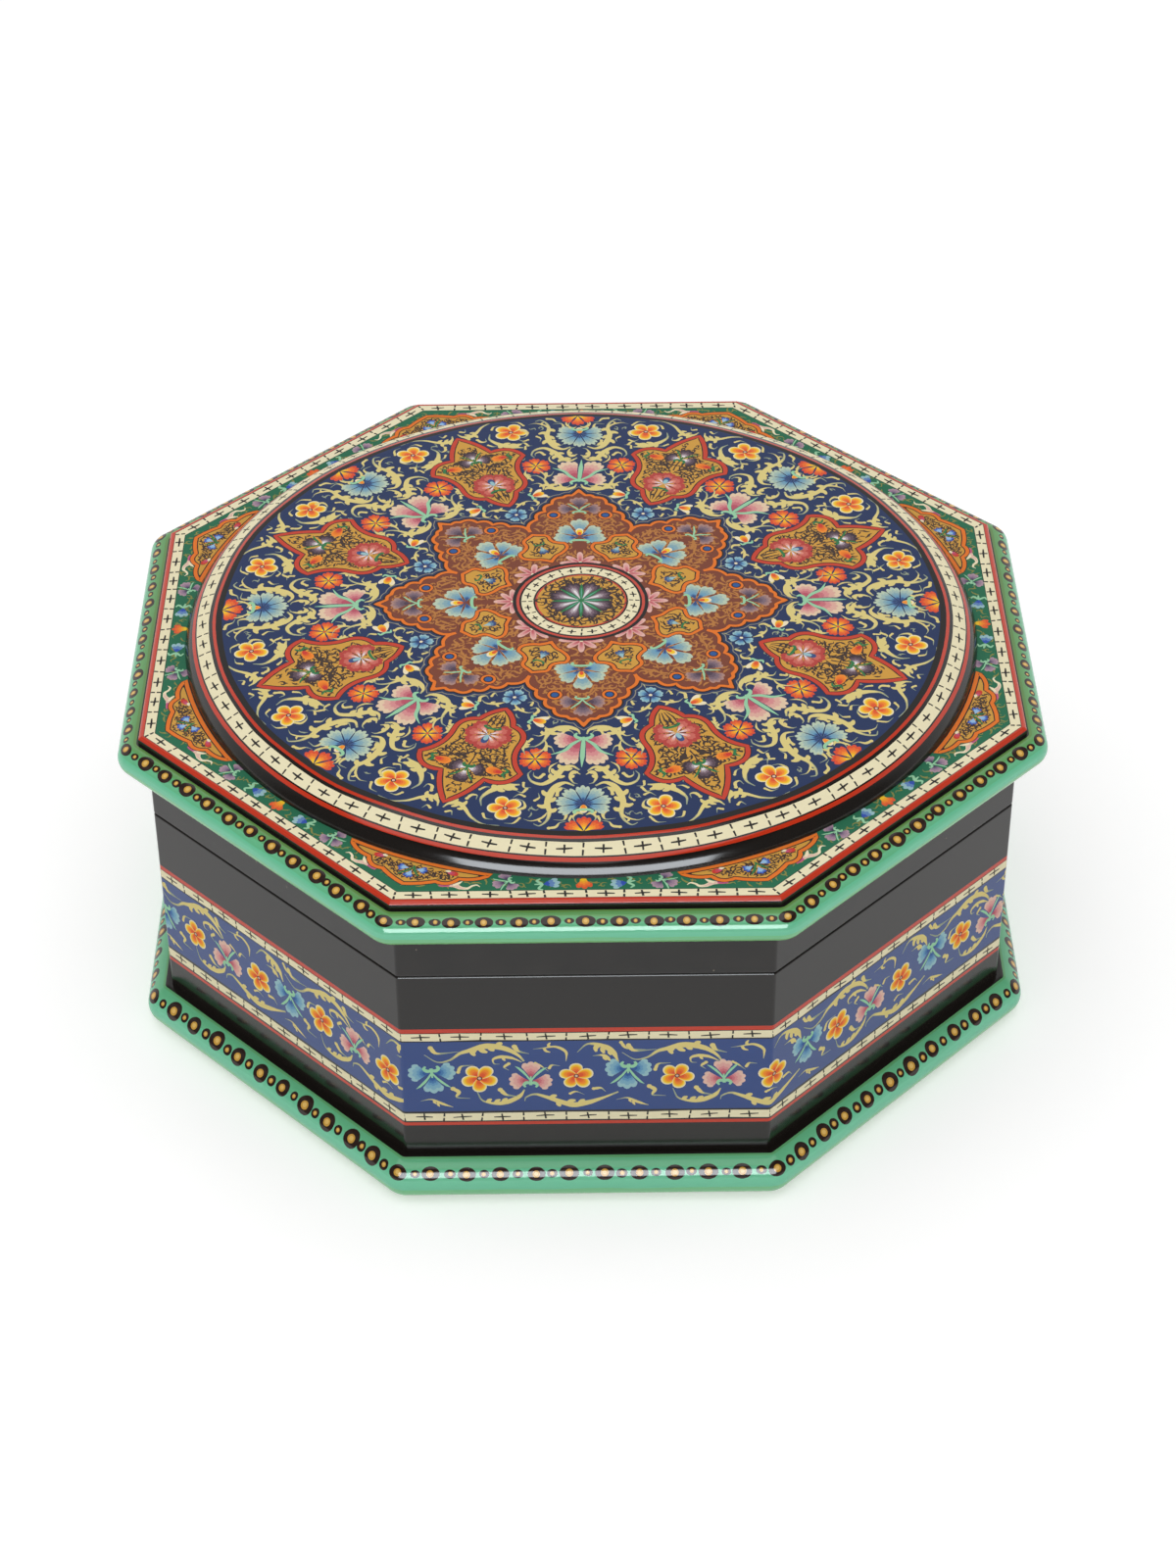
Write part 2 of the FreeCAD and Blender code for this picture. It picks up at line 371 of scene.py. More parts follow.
def crossed_cells(count, pitch, width, rng, start=0.0, brush=0.5, tall=0.42):
    """The marks of a ruled band, along X: a cross in every cell and a broken line between the cells."""
    edges = []
    for index in range(count + 1):
        shift = (0 < index < count) * rng.uniform(-0.08, 0.08)
        edges.append(start + index * pitch + shift * pitch)
    shapes = []
    for edge, after in zip(edges, edges[1:]):
        middle = (edge + after) / 2 + rng.uniform(-0.2, 0.2)
        tilt = np.exp(1j * math.radians(rng.uniform(-5, 5)))
        reach = rng.uniform(0.2, 0.235) * pitch
        long = middle + tilt * spots((-reach, 0), (0.1, 0.06), (reach, 0))
        short = middle + tilt * spots((0.12, -tall * width), (-0.1, (tall + 0.02) * width))
        shapes += [(INK, tapered(long, brush, 0.65, 1, 0.65)), (INK, tapered(short, brush, 1, 0.85))]
        lean = rng.uniform(-0.25, 0.25)
        for low, high in ((-0.5, -0.1), (0.08, 0.5)):
            ends = spots((edge + lean * 2 * low, low * width), (edge + lean * 2 * high, high * width))
            shapes.append((INK, tapered(ends, brush, 1, 0.8)))
    return shapes


def winding(loop, places):
    """How many times a closed loop goes round each place."""
    # Sorted by height, the places beside one edge of the loop come in one run
    order = np.argsort(places.imag)
    rows = places[order]
    heights = rows.imag.copy()
    turns = np.zeros(len(places), dtype=int)
    ends = np.roll(loop, -1)
    low = np.searchsorted(heights, np.minimum(loop.imag, ends.imag))
    high = np.searchsorted(heights, np.maximum(loop.imag, ends.imag))
    for start, end, first, last in zip(loop, ends, low, high):
        if first < last:
            to_left = ((end - start).conjugate() * (rows[first:last] - start)).imag > 0
            turns[first:last] += to_left if end.imag > start.imag else to_left.astype(int) - 1
    counted = np.zeros(len(places), dtype=int)
    counted[order] = turns
    return counted


# A corner that stands off its line by less than the slack isn't kept
SLACK = 0.045
THINNING_ROUNDS = 12


def triangulated(loops, borders, creases):
    """Triangles inside the first loop whose edges follow all the loops, borders and creases."""
    pieces = list(loops)
    edges = []
    start = 0
    for loop in loops:
        edges += [(start + index, start + (index + 1) % len(loop)) for index in range(len(loop))]
        start += len(loop)
    for line in creases:
        edges += [(start + index, start + index + 1) for index in range(len(line) - 1)]
        start += len(line)
    pieces += list(creases)
    if borders is not None:
        ends, numbers = np.unique(borders, return_inverse=True)
        pieces.append(ends)
        edges += [(int(one), int(other)) for one, other in start + numbers.reshape(-1, 2)]
    places = np.concatenate(pieces)
    # Places less than a tenth of a micron apart become one corner
    corners, _, triangles, *_ = delaunay_2d_cdt([(p.real, p.imag) for p in places], edges, [], 0, 1e-4, False)
    corners = np.array([complex(*corner) for corner in corners])
    triangles = np.array(triangles)
    middles = corners[triangles].mean(axis=1)
    kept = winding(loops[0], middles) != 0
    triangles, middles = triangles[kept], middles[kept]
    order = np.argsort(middles.real)
    return corners, triangles[order], middles[order]


def paint_at(middles, shapes, paints):
    """Which paint shows at places sorted from left to right; later shapes cover earlier ones."""
    painted = np.zeros(len(middles), dtype=int)
    for colour, shape in shapes:
        first, last = np.searchsorted(middles.real, (shape.real.min(), shape.real.max()))
        near = middles[first:last].imag
        under = first + np.flatnonzero((near > shape.imag.min()) & (near < shape.imag.max()))
        painted[under[winding(shape, middles[under]) != 0]] = paints.index(colour)
    return painted


def edges_of(triangles):
    """The three edges of every triangle."""
    return np.concatenate([triangles[:, [0, 1]], triangles[:, [1, 2]], triangles[:, [2, 0]]])


def borders_between(corners, triangles, painted):
    """The edges that part two paints, without the corners along them that hardly show."""
    sides = np.sort(edges_of(triangles), axis=1)
    tints = np.tile(painted, 3)
    order = np.lexsort((sides[:, 1], sides[:, 0]))
    sides, tints = sides[order], tints[order]
    # An edge that two triangles share comes twice in a row
    twin = (sides[1:] == sides[:-1]).all(axis=1) & (tints[1:] != tints[:-1])
    borders = sides[1:][twin]
    # Of loose neighbours along a border, one round takes out only the one with the highest rank
    rank = np.random.default_rng(1).permutation(len(corners))
    for _ in range(THINNING_ROUNDS):
        ends = np.concatenate([borders, borders[:, ::-1]])
        ends = ends[np.lexsort((ends[:, 1], ends[:, 0]))]
        bends, first, count = np.unique(ends[:, 0], return_index=True, return_counts=True)
        bends, first = bends[count == 2], first[count == 2]
        before, after = ends[first, 1], ends[first + 1, 1]
        chord = corners[after] - corners[before]
        rise = np.abs(((corners[bends] - corners[before]).conjugate() * chord).imag) / (np.abs(chord) + 1e-9)
        loose = np.zeros(len(corners), dtype=bool)
        loose[bends[rise < SLACK]] = True
        for near in (before, after):
            loose[bends[loose[near] & (rank[near] > rank[bends])]] = False
        kept = borders[~loose[borders].any(axis=1)]
        joined = np.concatenate([kept, np.stack([before, after], 1)[loose[bends]]])
        borders = np.unique(np.sort(joined, axis=1), axis=0)
    return corners[borders]


def cut_out(shapes, outline, creases, ground, wobble=None):
    """Cuts a flat layout into triangles along the borders between the paints that show.

    Returns corners, triangles, each one's paint and the paints; wobble moves the corners at the end."""
    paints = list(dict.fromkeys([ground] + [colour for colour, _ in shapes]))
    corners, triangles, middles = triangulated([outline] + [shape for _, shape in shapes], None, [])
    borders = borders_between(corners, triangles, paint_at(middles, shapes, paints))
    corners, triangles, middles = triangulated([outline], borders, creases)
    painted = paint_at(middles, shapes, paints)
    return wobble(corners) if wobble else corners, triangles, painted, paints


def painted_piece(node, layout, surface, backs, body, turn=0.0):
    """Builds the closed, painted piece that takes the place of a CAD piece, from its cut layout.

    surface gives each corner's place and outward direction in millimetres; backs gives the corners and
    faces that close the piece behind the painted skin."""
    corners, triangles, painted, paints = layout
    places, outward = surface(corners)
    extra_places, extra_faces = backs(corners, triangles)
    places = np.concatenate([places, extra_places])
    cos, sin = math.cos(math.radians(turn)), math.sin(math.radians(turn))
    spin = np.array([[cos, sin, 0], [-sin, cos, 0], [0, 0, 1]])
    # Corners that fall together become one, and triangles without area and corners without a face go
    same, index = np.unique(np.round(places, 5), axis=0, return_inverse=True)
    index = index.ravel()
    one, two, three = index[triangles].T
    sound = (one != two) & (two != three) & (three != one)
    triangles, painted = index[triangles][sound], painted[sound]
    used = np.unique(np.concatenate([triangles.ravel()] + [index[face] for face in extra_faces]))
    renumbered = np.full(len(same), -1)
    renumbered[used] = np.arange(len(used))
    faces = renumbered[triangles].tolist()
    for face in extra_faces:
        ring = [int(n) for n in renumbered[index[face]]]
        faces.append([n for n, before in zip(ring, [ring[-1]] + ring[:-1]) if n != before])
    name = f"painted_{node}"
    mesh = bpy.data.meshes.new(name)
    mesh.from_pydata((same[used] @ spin * MM).tolist(), [], faces)
    for colour in paints:
        mesh.materials.append(colour)
    back_paint = paints.index(BLACK)
    mesh.polygons.foreach_set("material_index", list(painted) + [back_paint] * len(extra_faces))
    # A curved skin shades by the true direction of its surface, and the faces behind it stay flat
    if outward is None:
        mesh.shade_flat()
    else:
        mesh.shade_smooth()
        directions = np.zeros((len(same), 3))
        directions[index[: len(outward)]] = outward
        normals = directions[triangles.ravel()] @ spin
        flat_backs = [tuple(face.normal) for face in mesh.polygons[len(triangles) :] for _ in face.vertices]
        mesh.normals_split_custom_set(normals.tolist() + flat_backs)
    piece = bpy.data.objects.new(name, mesh)
    bpy.context.scene.collection.objects.link(piece)
    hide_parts(node)
    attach(piece, body)


def wall_surface(points):
    """From the flat layout, along the wall and up, to the board that faces -Y with its rounded edges."""
    roll = np.clip((points.imag - (SEAM - SEAM_RADIUS)) / SEAM_RADIUS, 0, math.pi / 2)
    swing = np.clip((np.abs(points.real) - WALL_STRAIGHT) / CORNER_RADIUS, 0, HALF_CORNER)
    swing *= np.sign(points.real)
    radius = CORNER_RADIUS - SEAM_RADIUS * (1 - np.cos(roll))
    straight = np.clip(points.real, -WALL_STRAIGHT, WALL_STRAIGHT)
    x = straight + radius * np.sin(swing)
    y = -(WALL_FACE - CORNER_RADIUS) - radius * np.cos(swing)
    z = np.minimum(points.imag, SEAM - SEAM_RADIUS) + SEAM_RADIUS * np.sin(roll)
    outward = np.stack([np.cos(roll) * np.sin(swing), -np.cos(roll) * np.cos(swing), np.sin(roll)], axis=1)
    return np.stack([x, y, z], axis=1), outward


def skin_edge(off, key, shown):
    """The corners of the skin less than a micron off one edge of it, in order along that edge."""
    found = shown[np.abs(off[shown]) < 1e-3]
    return found[np.argsort(key[found])].tolist()


def wall_backs(corners, triangles):
    """The two mitres, the top, the bottom and the back of a board."""
    shown = np.unique(triangles)
    inner = WALL_BACK * math.tan(HALF_CORNER)
    extra = np.array([[side * inner, -WALL_BACK, z] for z in (0, SEAM) for side in (-1, 1)])
    low_left, low_right, high_left, high_right = range(len(corners), len(corners) + 4)
    left = skin_edge(corners.real + WALL_END, corners.imag, shown)
    right = skin_edge(corners.real - WALL_END, corners.imag, shown)
    foot = skin_edge(corners.imag, corners.real, shown)
    top = skin_edge(corners.imag - WALL_TOP, corners.real, shown)
    faces = [
        left + [high_left, low_left],
        [right[0], low_right, high_right] + right[:0:-1],
        top + [high_right, high_left],
        [foot[0], low_left, low_right] + foot[:0:-1],
        [low_left, high_left, high_right, low_right],
    ]
    return extra, faces


FLOWER_COUNT = 60
FLOWER_PITCH = SIDE_LENGTH * len(SIDES) / FLOWER_COUNT
FIRST_FLOWER = -41.0
FLOWER_REACH = 8
BAND_MIDDLE = 39.6
GARLAND = 4 * FLOWER_PITCH
WALL_CELLS = 9

# Ruled bars as (paint, lower edge, upper edge), and rows of crosses as (middle, height of the row)
WALL_BARS = (
    (RED_LINE, 55.4, 56.8), (CREAM, 52.7, 55.2), (RED_LINE, 22.5, 23.6), (CREAM, 24.1, 26.8),
    (WALL_BLUE, 27.5, 52.3),
)
CROSS_ROWS = ((53.95, 2.5), (25.45, 2.7))

# Scrolls between the flowers, from one blue flower to the next: (places, width, lobes)
WALL_SCROLLS = (
    (((24.6, 45), (23.3, 47), (20.6, 49.3), (17.4, 50.4), (14, 50.4),
      (11, 49.2), (8, 48.2), (5.3, 46), (2, 45.4), (-1.4, 48)), 1.9,
     ((0.42, 1.9, 120), (0.5, 2.6, 110), (0.58, 2.2, 80), (0.36, 1.8, -120))),
    (((24, 44.7), (21.4, 46.3), (18.6, 46.8), (16.6, 46), (16.8, 44.4), (18.2, 44.2)), 1.1,
     ((0.4, 1.5, 100),)),
    (((35.6, 45.3), (35.6, 48.6), (33, 50.4), (29.6, 49.8), (27, 49.4)), 0.9,
     ((0.8, 2.2, 130), (0.7, 1.6, -120))),
    (((49.3, 44.7), (48, 48), (45.3, 50.3), (41.3, 51.2), (38.6, 48.4)), 1.7,
     ((0.55, 2.4, 110), (0.68, 2.6, 90), (0.4, 1.6, 130))),
    (((47.4, 45), (45.4, 47), (42.6, 46.9)), 1.2, ((0.6, 1.6, 120),)),
    (((24.6, 35), (23.3, 32.7), (20, 30.7), (16.6, 30.2), (13.4, 31.4), (12, 35)), 1.5,
     ((0.5, 1.8, -130), (0.66, 1.8, -120), (0.78, 1.6, -100))),
    (((49.3, 34), (45.3, 32), (41.3, 30.3), (37.3, 29.4), (33.3, 30.7),
      (30, 32.3), (27.3, 33.3), (25, 32.3), (24.6, 30.9)), 1.8,
     ((0.34, 2.0, -130), (0.46, 2.4, -120), (0.52, 1.8, 120), (0.6, 1.8, -110))),
    (((5.6, 29.2), (2.7, 30.4), (0, 31.8), (-2.9, 31.2)), 0.9, ((0.5, 1.6, 130), (0.7, 1.4, 120))),
)
WALL_COMMAS = (
    (((22.2, 50.4), (23.2, 48.7), (26, 47.7)), 1.3), (((0.3, 50.4), (2, 48.5), (7.6, 48.8)), 1.2),
    (((20.6, 44.2), (19.4, 43), (20.6, 41.8)), 0.9),
    (((5.8, 35.8), (7.3, 34.6), (6.7, 32.8), (10.2, 32.3)), 1.2),
    (((31.2, 42.8), (32, 43.9), (34, 43.6)), 0.8), (((7.3, 41.6), (8.2, 43.6), (11.4, 44)), 0.9),
    (((18.2, 35), (19.8, 33.2), (22.8, 32.6)), 1.2), (((42.8, 35.4), (44.8, 35.6), (46, 34.2)), 0.9),
    (((50, 51.4), (51.6, 49.4), (56.4, 48.8)), 0.9), (((36.6, 33.4), (38.2, 34.2), (40.4, 33.2)), 0.7),
    (((27.6, 44.4), (29.4, 43.2), (31, 41.6)), 0.7), (((3.2, 41), (4.4, 40.2), (5.8, 40.8)), 0.6),
)


def garland():
    """The scrolls of one garland, from a blue flower to the next."""
    shapes = []
    for places, width, lobes in WALL_SCROLLS:
        shapes += scroll(spots(*places), width, lobes=lobes)
    for places, width in WALL_COMMAS:
        shapes += comma(spots(*places), width)
    return shapes


def wall_flower(number):
    """Blue, orange, pink and orange flowers in turn, each a little different."""
    rng = random.Random(900 + number % FLOWER_COUNT)
    at = complex(rng.uniform(-0.5, 0.5), BAND_MIDDLE + rng.uniform(-0.6, 0.6))
    if number % 2:
        return placed(orange_blossom(rng), at, rng.uniform(-30, 30), 4.8 * rng.uniform(0.95, 1.05))
    lean = rng.uniform(-7, 7)
    if number % 4 == 0:
        blue = three_petalled(PALE_BLUE, MID_BLUE, DEEP_BLUE, MINT)
        return placed(blue, at + 0.8j, lean, rng.uniform(0.92, 1.0))
    pink = three_petalled(PALE_PINK, MID_PINK, ROSE, MINT)
    return placed(pink, at - 0.4j, 180 + lean, rng.uniform(0.88, 0.96))


def wall_painting(side):
    """Everything painted on one board, in the order in which it is laid on."""
    rng = random.Random(40 + side)
    shapes = [bar(colour, -WALL_END - 1, WALL_END + 1, low, high) for colour, low, high in WALL_BARS]
    for middle, height in CROSS_ROWS:
        marks = crossed_cells(WALL_CELLS, SIDE_LENGTH / WALL_CELLS, height, rng, -WALL_END)
        shapes += placed(marks, 1j * middle)
    start = FIRST_FLOWER - SIDE_LENGTH * (side - 1)
    for turn in range(FLOWER_COUNT // 4 + 1):
        at = start + GARLAND * turn
        if at < -SIDE_LENGTH - GARLAND:
            at += SIDE_LENGTH * len(SIDES)
        if -WALL_END - GARLAND - FLOWER_REACH < at < WALL_END + FLOWER_REACH:
            shapes += placed(garland(), at)
    for number in range(FLOWER_COUNT):
        at = (start + FLOWER_PITCH * number + SIDE_LENGTH) % (SIDE_LENGTH * len(SIDES)) - SIDE_LENGTH
        if abs(at) < WALL_END + FLOWER_REACH:
            shapes += placed(wall_flower(number), at)
    return shapes


def wall_wobble(corners):
    """The ruled lines and the flowers waver a little, as brushwork does; the board's edges stay true."""
    fade = np.clip((WALL_STRAIGHT - np.abs(corners.real)) / 8, 0, 1)
    fade *= np.clip((SEAM - 3 - corners.imag) / 8, 0, 1)
    drift = 0.16 * np.sin(corners.real / 6.1 + corners.imag / 9)
    drift += 0.1 * np.sin(corners.real / 2.7 - corners.imag / 4)
    return corners + 1j * drift * fade * np.clip(corners.imag / 8, 0, 1)


wall_outline = spots((-WALL_END, 0), (WALL_END, 0), (WALL_END, WALL_TOP), (-WALL_END, WALL_TOP))
rounding = np.linspace(SEAM - SEAM_RADIUS, WALL_TOP, 6)[:-1]
wall_creases = [spots((-WALL_END, up), (WALL_END, up)) for up in rounding]
for across in np.linspace(WALL_STRAIGHT, WALL_END, 4)[:-1]:
    wall_creases += [spots((side * across, 0), (side * across, WALL_TOP)) for side in (-1, 1)]
for side in SIDES:
    layout = cut_out(wall_painting(side), wall_outline, wall_creases, BLACK, wall_wobble)
    turn = SIDE_TURN * (side - 1)
    painted_piece(f"wall_board_{side}", layout, wall_surface, wall_backs, "box_base", turn)

# Lip boards
# Eight thin boards glued round the inside of the walls. They stand 8 mm above the seam and keep the lid
# in place; lacquered black, their top edge dulled by the lid.
dressed([f"lip_board_{side}" for side in SIDES], black_lacquer("lip black lacquer", 0.18, worn=0.25))

# Plinth mouldings
# Half-round paper mouldings, pasted along the foot of each wall and run into each other round the
# corners. They are painted in bands of green, from sea green by the wall to grass green underneath,
# with a row of dots in dark brown with gold middles.
plinth_low, plinth_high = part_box("plinth_moulding_1")
HALF_SIDE = WALL_FACE * math.tan(HALF_CORNER)
DOT_BROWN = paint("dot brown", 44, 27, 22, rubbed=False)
GOLD = paint("gold", 205, 156, 66, rubbed=False)
# Paler gold for the painted highlight on each gold bead
GOLD_LIT = paint("painted gold highlight", 228, 188, 104, rubbed=False)
GREEN_MIXES = {
    "olive green": (100, 146, 76), "leaf green": (100, 160, 94), "sea green": (98, 172, 114),
    "light sea green": (102, 186, 138), "aqua green": (108, 197, 155), "clear aqua green": (114, 203, 163),
    "grass green": (118, 198, 140), "light grass green": (122, 192, 120),
}
GREENS = [paint(name, *colour, rubbed=False) for name, colour in GREEN_MIXES.items()]


class Moulding:
    """The section of a half-round moulding, followed from the top of the wall side round to the bottom.

    The black by the wall is green_line wide, and the row of dots lies dot_turn radians round from the top."""

    def __init__(self, low, high, green_line, dot_turn, dot_size, dot_stretch):
        self.radius = (high.z - low.z) / MM / 2
        self.middle = (high.z + low.z) / MM / 2
        self.flat = (-low.y / MM - WALL_FACE) - self.radius
        self.girth = 2 * self.flat + math.pi * self.radius
        self.green_line = green_line
        self.dot_size = dot_size
        self.dot_stretch = dot_stretch
        self.dot_line = self.flat + dot_turn * self.radius
        self.dot_reach = self.flat + self.radius * math.sin(dot_turn)
        self.end = HALF_SIDE + self.dot_reach * HALF_CORNER

    def section(self, down):
        """Distance from the wall, height and outward direction at this way down from the top."""
        turn = np.clip((down - self.flat) / self.radius, 0, math.pi)
        past = np.maximum(down - self.flat - math.pi * self.radius, 0)
        reach = np.minimum(down, self.flat) + self.radius * np.sin(turn) - past
        return reach, self.middle + self.radius * np.cos(turn), np.sin(turn), np.cos(turn)

    def surface(self, points):
        """From the flat layout, along the wall and down over the round, to the side that faces -Y."""
        reach, height, out, up = self.section(-points.imag)
        swing = np.clip((np.abs(points.real) - HALF_SIDE) / self.dot_reach, 0, HALF_CORNER)
        swing *= np.sign(points.real)
        x = np.clip(points.real, -HALF_SIDE, HALF_SIDE) + reach * np.sin(swing)
        y = -WALL_FACE - reach * np.cos(swing)
        outward = np.stack([out * np.sin(swing), -out * np.cos(swing), up], axis=1)
        return np.stack([x, y, height], axis=1), outward

    def backs(self, corners, triangles):
        """The two ends and the flat back that is pasted to the wall."""
        shown = np.unique(triangles)
        right = skin_edge(corners.real - self.end, -corners.imag, shown)
        left = skin_edge(corners.real + self.end, corners.imag, shown)
        top = skin_edge(corners.imag, corners.real, shown)
        foot = skin_edge(corners.imag + self.girth, -corners.real, shown)
        return np.zeros((0, 3)), [right, left, top + foot]

    def outline(self):
        """The flat layout as a whole, as if the paint were peeled off and unrolled."""
        return spots((-self.end, -self.girth), (self.end, -self.girth), (self.end, 0), (-self.end, 0))

    def creases(self):
        """Lines in the flat layout along which the skin bends: over the round and at the corners."""
        rounds = self.flat + self.radius * np.linspace(0, math.pi, 17)
        lines = [spots((-self.end, -down), (self.end, -down)) for down in rounds]
        for across in np.linspace(HALF_SIDE, self.end, 7)[:-1]:
            lines += [spots((side * across, 0), (side * across, -self.girth)) for side in (-1, 1)]
        return lines


def unsteady(rng, across, up):
    """A small step to any side, as a hand that isn't quite steady makes."""
    return complex(rng.uniform(-across, across), rng.uniform(-up, up))


def dot(place, moulding, radius, stretch, off):
    """A dark dot with a gold bead in its middle, set a little off, and a paler spot on the bead towards the
    top: a painted highlight.
    """
    at = place - 1j * moulding.dot_line
    bead = at + off * (1 + 0.5j)
    radius = radius * moulding.dot_size
    ring = disc(DOT_BROWN, 0, radius, 22)[1]
    ring = stretch * ring.real + 1j * ring.imag / stretch
    gold, light = disc(GOLD, bead, 0.46 * radius, 14), disc(GOLD_LIT, bead + 0.08j, 0.26 * radius, 10)
    return [(DOT_BROWN, at + ring), gold, light]


# How the row of dots runs on the front, the first slanting side, the side to the right and the next slanting
# side, and again round the back: how far it is let down, how much larger its dots are and how much wider
DOT_HANDS = ((0.45, 1.07, 1.05), (-0.45, 1.2, 0.92), (-0.25, 1.04, 1.0), (-0.45, 1.2, 0.92))


def moulding_painting(moulding, pairs, shade_from, shade_to, hand, rng):
    """Green shaded in bands, black by the wall, and pairs of a large and a small dot between the corners.

    shade_from and shade_to are how far down the first and the last band of green start."""
    let_down, larger, wider = hand
    end, girth = moulding.end, moulding.girth
    foot = spots((end, -girth), (-end, -girth))
    wave = np.linspace(-end, end, 25)
    shapes = []
    for green, down in zip(GREENS[1:], np.linspace(shade_from, shade_to, len(GREENS) - 1)):
        drift = 0.22 * np.sin(wave / rng.uniform(4, 7) + rng.uniform(0, 6))
        drift = drift * (end - np.abs(wave)) / end
        shapes.append((green, np.concatenate([wave - 1j * (down + drift), foot])))
    shapes += [bar(BLACK, -end, end, -moulding.green_line, 0), bar(BLACK, -end, end, -girth, -girth + 0.6)]
    pitch = 2 * end / pairs
    stretch = moulding.dot_stretch * wider
    for index in range(2 * pairs + 1):
        place = -end + pitch * index / 2
        place -= 1j * let_down * (1 - (abs(place) / end) ** 4)
        if index in (0, 2 * pairs):
            shapes += dot(place, moulding, 2.2, moulding.dot_stretch, 0)
        elif index % 2:
            place += unsteady(rng, 0.3, 0.25)
            shapes += dot(place, moulding, larger * rng.uniform(1.0, 1.25), stretch, rng.uniform(-0.15, 0.15))
        else:
            place += unsteady(rng, 0.35, 0.25)
            shapes += dot(place, moulding, larger * rng.uniform(1.85, 2.2), stretch, rng.uniform(-0.2, 0.2))
    return shapes


def run_of_moulding(kind, moulding, pairs, shade_from, shade_to, body):
    """The eight painted lengths of one moulding."""
    for side in SIDES:
        rng = random.Random(70 + side)
        shapes = moulding_painting(moulding, pairs, shade_from, shade_to, DOT_HANDS[(side - 1) % 4], rng)
        layout = cut_out(shapes, moulding.outline(), moulding.creases(), GREENS[0])
        node = f"{kind}_moulding_{side}"
        turn = SIDE_TURN * (side - 1)
        painted_piece(node, layout, moulding.surface, moulding.backs, body, turn)


plinth = Moulding(plinth_low, plinth_high, green_line=1.9, dot_turn=0.88, dot_size=1.08, dot_stretch=1.06)
PLINTH_PAIRS = 11
shaded = plinth.green_line - 5.5, plinth.flat + 2.2 * plinth.radius
run_of_moulding("plinth", plinth, PLINTH_PAIRS, *shaded, "box_base")

# Lid top board and skirt
# The lid is an octagonal board on eight mitred skirt boards, as thick as the walls, all in black
# lacquer; the seam edge of the skirt is rubbed round like that of the walls below it.
dressed(["lid_top_board"], black_lacquer("lid board black lacquer", 0.2, worn=0.25))
dressed([f"lid_skirt_board_{side}" for side in SIDES], black_lacquer("skirt black lacquer", 0.09))

# Rim mouldings
# The same half-round paper moulding, smaller, pasted in eight lengths round the top edge of the lid. It
# is painted like the one at the foot, with wider dots set higher up on the round.
rim_low, rim_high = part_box("rim_moulding_1")
rim = Moulding(rim_low, rim_high, green_line=2.6, dot_turn=0.5, dot_size=0.92, dot_stretch=1.22)
RIM_PAIRS = 12
shaded = rim.green_line + 0.8, rim.flat + 2.0 * rim.radius
run_of_moulding("rim", rim, RIM_PAIRS, *shaded, "lid")

# Octagonal panel
# A thin board with its black edge rubbed round at the top, painted green, with a cartouche in each corner
# and small flowers between them, inside a red line and a cream band of crosses.
panel_low, panel_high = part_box("lid_octagon_panel")
PANEL_TOP = panel_high.z / MM
PANEL_FOOT = panel_low.z / MM
PANEL_FOOT_APOTHEM = -panel_low.y / MM
PANEL_EDGE_RADIUS = 1.2
PANEL_APOTHEM = PANEL_FOOT_APOTHEM - PANEL_EDGE_RADIUS
PANEL_SKIN_APOTHEM = PANEL_APOTHEM + PANEL_EDGE_RADIUS * (math.pi / 2 - 1) + PANEL_TOP - PANEL_FOOT
PANEL_GREEN = paint("panel green", 10, 104, 70)
GREEN_GOLD = paint("gold on green", 134, 132, 62)
OUTLINE_ORANGE = paint("outline orange", 230, 115, 15)
OCHRE = paint("ochre", 208, 154, 56)
SCROLL_BROWN = paint("scroll brown", 58, 40, 32)
LEAF_GREEN = paint("leaf green scroll", 36, 118, 66)
LILAC = paint("lilac", 172, 142, 156)
LILAC_MID = paint("mid lilac", 132, 108, 134)
LILAC_DEEP = paint("deep lilac", 66, 54, 84)
SKY = paint("sky blue", 150, 190, 226)
BRIGHT_BLUE = paint("bright blue", 38, 76, 176)
BLOSSOM_RED = paint("blossom red", 206, 50, 34)
BUD_PINK = paint("bud pink", 196, 84, 128)


def curl(colour, width, rng):
    """One short mark of the brush that fills the ground between flowers: a hook, a double curve or a leaf."""
    flipped = rng.choice((False, True))
    hook = spots((-1.2, -0.5), (-0.2, -0.9), (0.8, -0.3), (0.7, 0.7), (-0.2, 0.8), (-0.3, 0.1))
    double = spots((-1.6, 0.5), (-0.9, -0.3), (0, 0), (0.8, 0.4), (1.5, -0.5), (1.0, -0.9))
    leaf = spots((-1.5, -0.6), (-0.4, -0.5), (0.5, 0.2), (1.3, 1.0))
    line = curve(rng.choice((hook, double, leaf)), steps=2)
    shapes = [(colour, tapered(line, width, 0.2, 0.9, 1.35, 0.8, 0.25))]
    middle = line[len(line) // 2]
    for tip in (0.9 + 0.5j, 0.2 + 1.1j)[: rng.choice((1, 2))]:
        finger = curve([middle, middle + tip * 0.6 + 0.15, middle + tip], steps=2)
        shapes.append((colour, tapered(finger, width, 1.1, 0.8, 0.3)))
    return placed(shapes, turn=rng.uniform(0, 360), size=rng.uniform(0.8, 1.15), mirrored=flipped)


def sprinkled(field, pitch, rng):
    """Places spread unevenly over a closed field, in rows that step sideways."""
    places = []
    for row, up in enumerate(np.arange(field.imag.min(), field.imag.max(), pitch * 0.87)):
        for across in np.arange(field.real.min() + pitch / 2 * (row % 2), field.real.max(), pitch):
            places.append(complex(across, up) + pitch * unsteady(rng, 0.2, 0.2))
    places = np.array(places)
    return places[winding(field, places) != 0]


def inside(field, shapes):
    """Those of the shapes that lie wholly in a closed field."""
    return [(colour, shape) for colour, shape in shapes if (winding(field, shape) != 0).all()]


